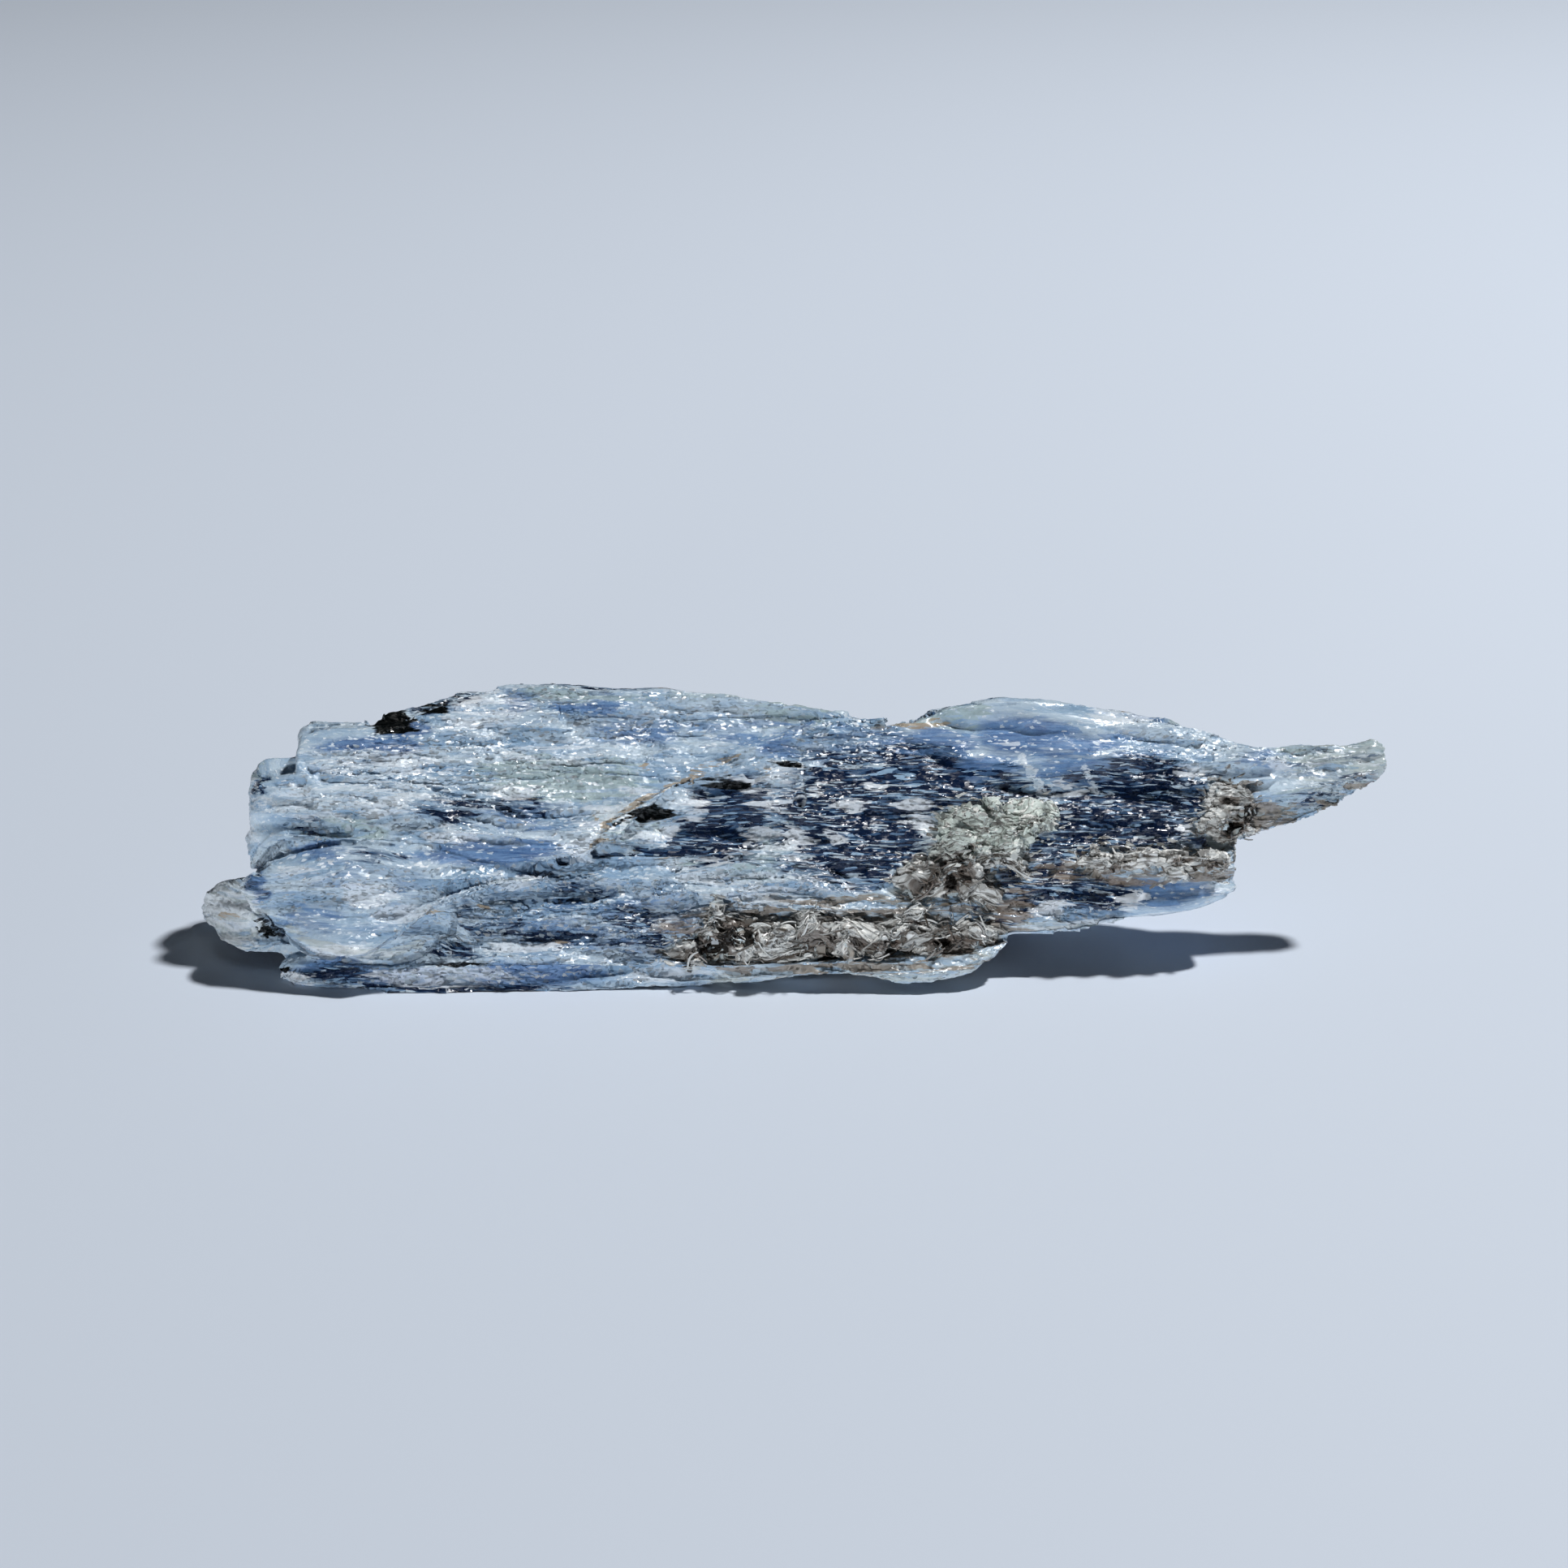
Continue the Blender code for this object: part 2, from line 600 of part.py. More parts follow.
def hollow_mesh(hollow):
    """A tapered six-sided pit that opens towards the front."""
    mesh = bmesh.new()
    bmesh.ops.create_cone(
        mesh,
        cap_ends=True,
        segments=6,
        radius1=hollow.radius * 1.7,
        radius2=hollow.radius * 0.5,
        depth=PIT_LENGTH,
        matrix=Matrix.Translation((hollow.along, hollow.across, hollow.front)),
    )
    return mesh


def material(name, colour, roughness):
    made = bpy.data.materials.new(name)
    made.use_nodes = True
    shader = made.node_tree.nodes["Principled BSDF"]
    shader.inputs["Base Color"].default_value = (*colour, 1.0)
    shader.inputs["Roughness"].default_value = roughness
    shader.inputs["Metallic"].default_value = 0.0
    return made


def new_object(name, mesh, collection):
    data = bpy.data.meshes.new(name)
    leaned(mesh).to_mesh(data)
    mesh.free()
    made = bpy.data.objects.new(name, data)
    collection.objects.link(made)
    return made


def helper(name, mesh, collection):
    """An object that only feeds a Boolean, so it is no part of the specimen."""
    made = new_object(name, mesh, collection)
    made.hide_render = True
    made.display_type = "WIRE"
    return made


def combine(target, other, operation, label):
    """Joins other to target, or cuts it away. The blades stay closed where many cross in one place."""
    made = target.modifiers.new(label, "BOOLEAN")
    made.object = other
    made.operation = operation
    made.solver = "MANIFOLD"


def shell_of(start):
    """Every face that is joined to start across edges that only two faces share."""
    found, waiting = {start}, [start]
    while waiting:
        for edge in waiting.pop().edges:
            beyond = edge.link_faces if edge.is_manifold else []
            for face in beyond:
                if face not in found:
                    found.add(face)
                    waiting.append(face)
    return found


def volume_inside(shell):
    """The space that a triangulated shell holds, negative where its faces point inwards."""
    total = 0.0
    for face in shell:
        first, second, third = (vert.co for vert in face.verts)
        total += first.dot(second.cross(third)) / 6
    return total


def apply_modifiers(target):
    graph = bpy.context.evaluated_depsgraph_get()
    finished = bpy.data.meshes.new_from_object(target.evaluated_get(graph))
    target.modifiers.clear()
    target.data = finished


def drop_gaps_and_crumbs(target):
    """Applies the Booleans, then fills the gaps sealed in between blades and drops stray crumbs."""
    apply_modifiers(target)
    mesh = bmesh.new()
    mesh.from_mesh(target.data)
    bmesh.ops.dissolve_degenerate(mesh, dist=SLIVER, edges=mesh.edges)
    bmesh.ops.triangulate(mesh, faces=mesh.faces)
    waiting = set(mesh.faces)
    unwanted = []
    while waiting:
        shell = shell_of(next(iter(waiting)))
        waiting -= shell
        if volume_inside(shell) < SMALLEST_BODY:
            unwanted += shell
    bmesh.ops.delete(mesh, geom=unwanted, context="FACES")
    loose = [vert for vert in mesh.verts if not vert.link_faces]
    bmesh.ops.delete(mesh, geom=loose, context="VERTS")
    mesh.to_mesh(target.data)
    mesh.free()


def ground_block(collection):
    """A block whose top face wears the lowest points flat, at the height where the specimen rests."""
    block = bmesh.new()
    bmesh.ops.create_cube(block, size=1.0)
    depth = 10.0 * MM
    size = Vector((1.4 * SPECIMEN_LENGTH * MM, 4 * BODY_DEPTH * MM, depth))
    bmesh.ops.scale(block, vec=size, verts=block.verts)
    place = Vector((0, BODY_DEPTH / 2 * MM, REST_SHAVE * MM - depth / 2))
    bmesh.ops.translate(block, vec=place, verts=block.verts)
    data = bpy.data.meshes.new("ground_block")
    block.to_mesh(data)
    block.free()
    made = bpy.data.objects.new("ground_block", data)
    collection.objects.link(made)
    made.hide_render = True
    made.display_type = "WIRE"
    return made


def grown_together(name, meshes, stage, workshop):
    """One object made by joining several closed, overlapping meshes."""
    grown = new_object(name, meshes[0], stage)
    for number, mesh in enumerate(meshes[1:], start=1):
        other = helper(f"{name}_{number:02d}", mesh, workshop)
        combine(grown, other, "UNION", f"grown together {number:02d}")
    return grown


def stand_on_origin(pieces):
    """Moves every piece by the same amount, so that the bottom centre of their box is the origin."""
    points = [vert.co for piece in pieces for vert in piece.data.vertices]
    low = Vector(min(point[axis] for point in points) for axis in range(3))
    high = Vector(max(point[axis] for point in points) for axis in range(3))
    for piece in pieces:
        piece.location = (-(low.x + high.x) / 2, -(low.y + high.y) / 2, -low.z)


def build():
    for old in list(bpy.data.objects):
        bpy.data.objects.remove(old)
    stage = bpy.context.scene.collection
    workshop = bpy.data.collections.new("workshop")
    stage.children.link(workshop)
    workshop.hide_render = True

    blades = []
    for number, drawn in enumerate(face_blades()):
        blades.append(loft_blade(drawn, FACE_PITCH, FACE_STRIPS, 5.0 + 2.9 * number))
    for number, drawn in enumerate(back_blades()):
        blades.append(loft_blade(drawn, BACK_PITCH, BACK_STRIPS, 90.0 + 2.9 * number))
    kyanite = grown_together("kyanite_blades", blades, stage, workshop)
    kyanite.data.materials.append(material("kyanite", (0.25, 0.37, 0.55), 0.35))
    drop_gaps_and_crumbs(kyanite)
    kyanite.modifiers.new("thinned where flat", "DECIMATE").ratio = KEPT_SHARE
    apply_modifiers(kyanite)

    brown = material("mica", (0.42, 0.40, 0.36), 0.5)
    for name, (lumps, books_each, seed) in MICA_MASSES.items():
        grains = mica_meshes(lumps(), books_each, MICA_GAP, seed)
        pocket = grown_together(name + "_pocket", grains, workshop, workshop)
        drop_gaps_and_crumbs(pocket)
        pocket.hide_render = True
        pocket.display_type = "WIRE"
        combine(kyanite, pocket, "DIFFERENCE", name + " pocket")
        grains = mica_meshes(lumps(), books_each, 0.0, seed)
        mass = grown_together(name, grains, stage, workshop)
        for number, hollow in enumerate(HOLLOWS):
            if hollow.mass == name:
                pit = helper(f"hollow_{number}", hollow_mesh(hollow), workshop)
                combine(mass, pit, "DIFFERENCE", f"fallen out {number}")
        mass.data.materials.append(brown)
        drop_gaps_and_crumbs(mass)

    for number, crack in enumerate(CROSS_CRACKS):
        groove = helper(f"crack_{number}", crack_mesh(crack), workshop)
        combine(kyanite, groove, "DIFFERENCE", f"snapped across {number}")
    combine(kyanite, ground_block(workshop), "DIFFERENCE", "worn flat where it rests")
    drop_gaps_and_crumbs(kyanite)
    stand_on_origin(stage.objects)


build()
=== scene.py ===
import math
from itertools import product

import bpy
import bmesh
import numpy as np
from mathutils import Matrix, Vector
from mathutils.bvhtree import BVHTree
from mathutils.geometry import delaunay_2d_cdt


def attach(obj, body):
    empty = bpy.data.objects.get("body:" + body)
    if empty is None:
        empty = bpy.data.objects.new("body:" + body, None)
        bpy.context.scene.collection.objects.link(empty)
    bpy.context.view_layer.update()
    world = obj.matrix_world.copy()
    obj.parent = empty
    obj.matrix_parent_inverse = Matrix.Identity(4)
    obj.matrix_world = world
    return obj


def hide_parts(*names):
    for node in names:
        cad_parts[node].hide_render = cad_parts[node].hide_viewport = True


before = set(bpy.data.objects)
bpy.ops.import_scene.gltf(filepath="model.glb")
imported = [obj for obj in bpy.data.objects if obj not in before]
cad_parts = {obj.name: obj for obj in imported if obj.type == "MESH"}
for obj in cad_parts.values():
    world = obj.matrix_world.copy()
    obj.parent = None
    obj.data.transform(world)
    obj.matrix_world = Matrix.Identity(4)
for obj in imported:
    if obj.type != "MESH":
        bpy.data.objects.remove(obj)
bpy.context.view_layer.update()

mm = 0.001
scene = bpy.context.scene

# The broad face leans back, and everything on it is laid out in millimetres:
# along its length, up the face, and into the stone.
face = {
    "lean": math.radians(20),
    "origin": (0.073, -11.068, -0.35),
    "middle": (-0.5, 16.25, 8.0),
    "distance": 268.0,  # from where the face is looked at
    "viewAngle": math.radians(25.4),
    # along, and how far into the stone it counts as front
    "depths": ((-46, 18.0), (-41, 12.5), (-30, 11.0), (-22, 9.0), (5, 8.5), (20, 11.0), (46, 11.5)),
}
leanSin, leanCos = math.sin(face["lean"]), math.cos(face["lean"])


def toWorld(along, up, into):
    return Vector((
        along + face["origin"][0],
        leanSin * up + leanCos * into + face["origin"][1],
        leanCos * up - leanSin * into + face["origin"][2],
    )) * mm


def toFace(points):
    # along, up and into, as three columns
    local = points / mm - np.array(face["origin"])
    up = leanSin * local[:, 1] + leanCos * local[:, 2]
    into = leanCos * local[:, 1] - leanSin * local[:, 2]
    return np.stack([local[:, 0], up, into], axis=1)


def randomOf(cells, seed):
    mixed = (cells[:, 0] * 73856093) ^ (cells[:, 1] * 19349663) ^ (cells[:, 2] * 83492791)
    mixed = (mixed ^ (seed * 40503 + 977)) & 0xFFFFFFFF
    for factor in (0x45D9F3B, 0x27D4EB2D):
        mixed = (((mixed ^ (mixed >> 15)) & 0xFFFFFFFF) * factor) & 0xFFFFFFFF
    return ((mixed ^ (mixed >> 14)) & 0xFFFFFF) / float(0x1000000)


def smoothNoise(points, size, seed, octaves=3):
    # between -1 and 1, with lumps of the given size along, up and into
    total = np.zeros(len(points))
    weight = 0.0
    for octave in range(octaves):
        scaled = points / (np.array(size) / 2**octave) + 17.3 * octave
        base = np.floor(scaled).astype(np.int64)
        part = scaled - base
        part = part * part * (3 - 2 * part)
        rest = 1 - part
        value = np.zeros(len(points))
        for x, y, z in product((0, 1), repeat=3):
            share = (part if x else rest)[:, 0] * (part if y else rest)[:, 1] * (part if z else rest)[:, 2]
            value += share * randomOf(base + np.array((x, y, z)), seed + 31 * octave)
        total += value * 0.55**octave
        weight += 0.55**octave
    return total / weight * 2 - 1


def faded(distance, slope=0.6):
    # 1 inside, 0 outside, with a slope between
    ramp = np.clip((1 + slope / 2 - distance) / slope, 0, 1)
    return ramp * ramp * (3 - 2 * ramp)


def fromOval(along, up, x, y, halfLength, halfHeight):
    # how far from the middle of an oval, where its outline is 1
    return np.hypot((along - x) / halfLength, (up - y) / halfHeight)


def columnsOf(items, field):
    flat = np.empty(len(items) * 3)
    items.foreach_get(field, flat)
    return flat.reshape(-1, 3)


def pointsOf(mesh):
    return columnsOf(mesh.vertices, "co")


def normalsOf(mesh):
    return columnsOf(mesh.vertex_normals, "vector")


def movePoints(mesh, points):
    mesh.vertices.foreach_set("co", points.astype(np.float32).ravel())
    mesh.update()


def keepValues(mesh, name, values, kind="FLOAT", field="value"):
    layer = mesh.attributes.get(name) or mesh.attributes.new(name, kind, "POINT")
    layer.data.foreach_set(field, np.asarray(values, np.float32).ravel())


def keepVectors(mesh, name, values):
    keepValues(mesh, name, values, "FLOAT_VECTOR", "vector")


def readValues(mesh, name):
    flat = np.empty(len(mesh.vertices))
    mesh.attributes[name].data.foreach_get("value", flat)
    return flat


def newPiece(name, mesh):
    piece = bpy.data.objects.new(name, mesh)
    scene.collection.objects.link(piece)
    return piece


def meshAsSeen(piece):
    bpy.context.view_layer.update()
    graph = bpy.context.evaluated_depsgraph_get()
    seen = piece.evaluated_get(graph)
    return bpy.data.meshes.new_from_object(seen, preserve_all_data_layers=True, depsgraph=graph)


def applyModifiers(piece):
    before = piece.data
    piece.data = meshAsSeen(piece)
    piece.modifiers.clear()
    bpy.data.meshes.remove(before)


def denseCopy(nodes, name, squareSize, grow, smoothing, fillers=()):
    # the solids of these nodes, swollen a little and covered with small even squares
    coarse = bpy.data.meshes.new(name)
    joined = bmesh.new()
    for node in nodes:
        shell = bmesh.new()
        shell.from_mesh(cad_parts[node].data)
        bmesh.ops.remove_doubles(shell, verts=shell.verts, dist=2e-6)
        shell.normal_update()
        for vertex in shell.verts:
            vertex.co += vertex.normal * grow * mm
        shell.to_mesh(coarse)
        shell.free()
        joined.from_mesh(coarse)
    for along, up, into, *half in fillers:
        turned = Matrix.Rotation(-face["lean"], 4, "X") @ Matrix.Diagonal([size * mm for size in half] + [1])
        placed = Matrix.Translation(toWorld(along, up, into)) @ turned
        bmesh.ops.create_icosphere(joined, subdivisions=3, radius=1.0, matrix=placed)
    joined.to_mesh(coarse)
    joined.free()
    piece = newPiece(name, coarse)
    remesh = piece.modifiers.new("squares", "REMESH")
    remesh.mode = "VOXEL"
    remesh.voxel_size = squareSize * mm
    smooth = piece.modifiers.new("worn", "SMOOTH")
    smooth.factor = 0.5
    smooth.iterations = smoothing
    applyModifiers(piece)
    return piece


def softEdges(mesh, angle):
    mesh.polygons.foreach_set("use_smooth", np.ones(len(mesh.polygons), bool))
    mesh.set_sharp_from_angle(angle=math.radians(angle))


class Graph:
    # a short way to write nodes, in a material or in a geometry tree
    def __init__(self, tree):
        self.tree = tree

    def plug(self, socket, value):
        if isinstance(value, bpy.types.NodeSocket):
            self.tree.links.new(value, socket)
        else:
            socket.default_value = value

    def add(self, kind, values=(), **fixed):
        # a node, with what goes into its inputs: plain values, or outputs of other nodes
        node = self.tree.nodes.new(kind)
        for key, value in fixed.items():
            setattr(node, key, value)
        for socket, value in dict(values).items():
            self.plug(node.inputs[socket], value)
        return node

    def math(self, operation, first, second=0.5):
        return self.add("ShaderNodeMath", {0: first, 1: second}, operation=operation).outputs[0]

    def share(self, value, factor):
        return self.math("MULTIPLY", value, factor)

    def added(self, first, second):
        return self.math("ADD", first, second)

    def vector(self, operation, first, second=(0, 0, 0)):
        return self.add("ShaderNodeVectorMath", {0: first, 1: second}, operation=operation).outputs[0]

    def scaled(self, vector, factor):
        values = {0: vector, "Scale": factor}
        return self.add("ShaderNodeVectorMath", values, operation="SCALE").outputs[0]

    def parts(self, vector):
        return self.add("ShaderNodeSeparateXYZ", {0: vector}).outputs

    def centred(self, value, size=1.0):
        # 0 to 1 made -size / 2 to size / 2
        return self.share(self.math("SUBTRACT", value, 0.5), size)

    def noise(self, where, size, detail=4.0, roughness=0.6, output="Fac"):
        scaled = self.vector("DIVIDE", where, size)
        values = {"Vector": scaled, "Scale": 1.0, "Detail": detail, "Roughness": roughness}
        return self.add("ShaderNodeTexNoise", values).outputs[output]

    def cells(self, where, size):
        # three random values for each stretched cell, and the way to its middle
        scaled = self.vector("DIVIDE", where, size)
        node = self.add("ShaderNodeTexVoronoi", {"Vector": scaled, "Scale": 1.0})
        return self.parts(node.outputs["Color"]), self.vector("SUBTRACT", scaled, node.outputs["Position"])

    def seams(self, where, size):
        # how far the nearest joint between such cells is
        values = {"Vector": self.vector("DIVIDE", where, size), "Scale": 1.0}
        return self.add("ShaderNodeTexVoronoi", values, feature="DISTANCE_TO_EDGE").outputs["Distance"]

    def step(self, value, low, high):
        values = {"Value": value, "From Min": low, "From Max": high}
        return self.add("ShaderNodeMapRange", values, interpolation_type="SMOOTHSTEP").outputs["Result"]

    def mix(self, share, first, second):
        values = {"Factor": share, "A": first, "B": second}
        return self.add("ShaderNodeMix", values, data_type="RGBA").outputs["Result"]

    def mark(self, name, output="Fac"):
        return self.add("ShaderNodeAttribute", attribute_name=name).outputs[output]

    def readFrom(self, name, kind="FLOAT"):
        node = self.add("GeometryNodeInputNamedAttribute", {"Name": name}, data_type=kind)
        return node.outputs["Attribute"]

    def store(self, shape, name, value, domain):
        values = {"Geometry": shape, "Name": name, "Value": value}
        node = self.add("GeometryNodeStoreNamedAttribute", values, data_type="FLOAT", domain=domain)
        return node.outputs[0]

    def finished(self, shape, material):
        # the end of every tree: plain mesh, and its material
        real = self.add("GeometryNodeRealizeInstances", {0: shape}).outputs[0]
        finish = self.add("GeometryNodeSetMaterial", {"Geometry": real, "Material": material})
        self.add("NodeGroupOutput", {0: finish.outputs[0]})


def newTree(name, given, made):
    tree = bpy.data.node_groups.new(name, "GeometryNodeTree")
    for socket, kind in given:
        tree.interface.new_socket(socket, in_out="INPUT", socket_type=kind)
    tree.interface.new_socket(made, in_out="OUTPUT", socket_type="NodeSocketGeometry")
    return tree


def giveTree(piece, tree, values):
    modifier = piece.modifiers.new(tree.name, "NODES")
    modifier.node_group = tree
    for socket in tree.interface.items_tree:
        if socket.name in values:
            modifier[socket.identifier] = values[socket.name]


def newMaterial(name):
    material = bpy.data.materials.new(name)
    material.use_nodes = True
    return material, Graph(material.node_tree), material.node_tree.nodes["Principled BSDF"].inputs


def colour(red, green, blue):
    # a colour as it is seen on a screen, 0 to 255, made linear
    return tuple((c / 255) ** 2.2 for c in (red, green, blue)) + (1.0,)


studio = {
    "floor": colour(216, 226, 240),
    "floorSize": 6.0,
    "floorRoughness": 0.7,
    "lamps": {
        # direction, distance, size, power, whether it mirrors in the facets
        "key light": ((0.47, 0.22, 0.86), 1.2, 0.09, 13.7, True),
        "front panel": ((-0.27, -0.96, -0.04), 1.0, 0.22, 20.5, False),
    },
    "skyColour": (0.80, 0.88, 1.0, 1.0),
    "skyStrength": 0.012,
}


def setCamera():
    camera = bpy.data.objects.new("camera", bpy.data.cameras.new("camera"))
    scene.collection.objects.link(camera)
    look = Vector((0, leanCos, -leanSin))
    camera.location = toWorld(*face["middle"]) - look * face["distance"] * mm
    camera.rotation_euler = look.to_track_quat("-Z", "Y").to_euler()
    camera.data.sensor_width = 36.0
    camera.data.angle = face["viewAngle"]
    camera.data.clip_start = 0.01
    camera.data.clip_end = 50.0
    scene.camera = camera


def setStudio():
    bpy.ops.mesh.primitive_plane_add(size=studio["floorSize"])
    floor = bpy.context.object
    floor.name = "floor"
    material, g, shader = newMaterial("floor paint")
    shader["Base Color"].default_value = studio["floor"]
    shader["Roughness"].default_value = studio["floorRoughness"]
    floor.data.materials.append(material)
    for name, (direction, distance, size, power, mirrors) in studio["lamps"].items():
        lamp = bpy.data.objects.new(name, bpy.data.lights.new(name, "AREA"))
        scene.collection.objects.link(lamp)
        towards = Vector(direction).normalized()
        lamp.location = towards * distance
        lamp.rotation_euler = (-towards).to_track_quat("-Z", "Y").to_euler()
        lamp.data.shape = "DISK"
        lamp.data.size = size
        lamp.data.energy = power
        lamp.visible_glossy = mirrors
    world = bpy.data.worlds.new("soft room")
    world.use_nodes = True
    world.node_tree.nodes["Background"].inputs["Color"].default_value = studio["skyColour"]
    world.node_tree.nodes["Background"].inputs["Strength"].default_value = studio["skyStrength"]
    scene.world = world
    scene.view_settings.view_transform = "Standard"


setCamera()
setStudio()
print("camera, floor and light are set")


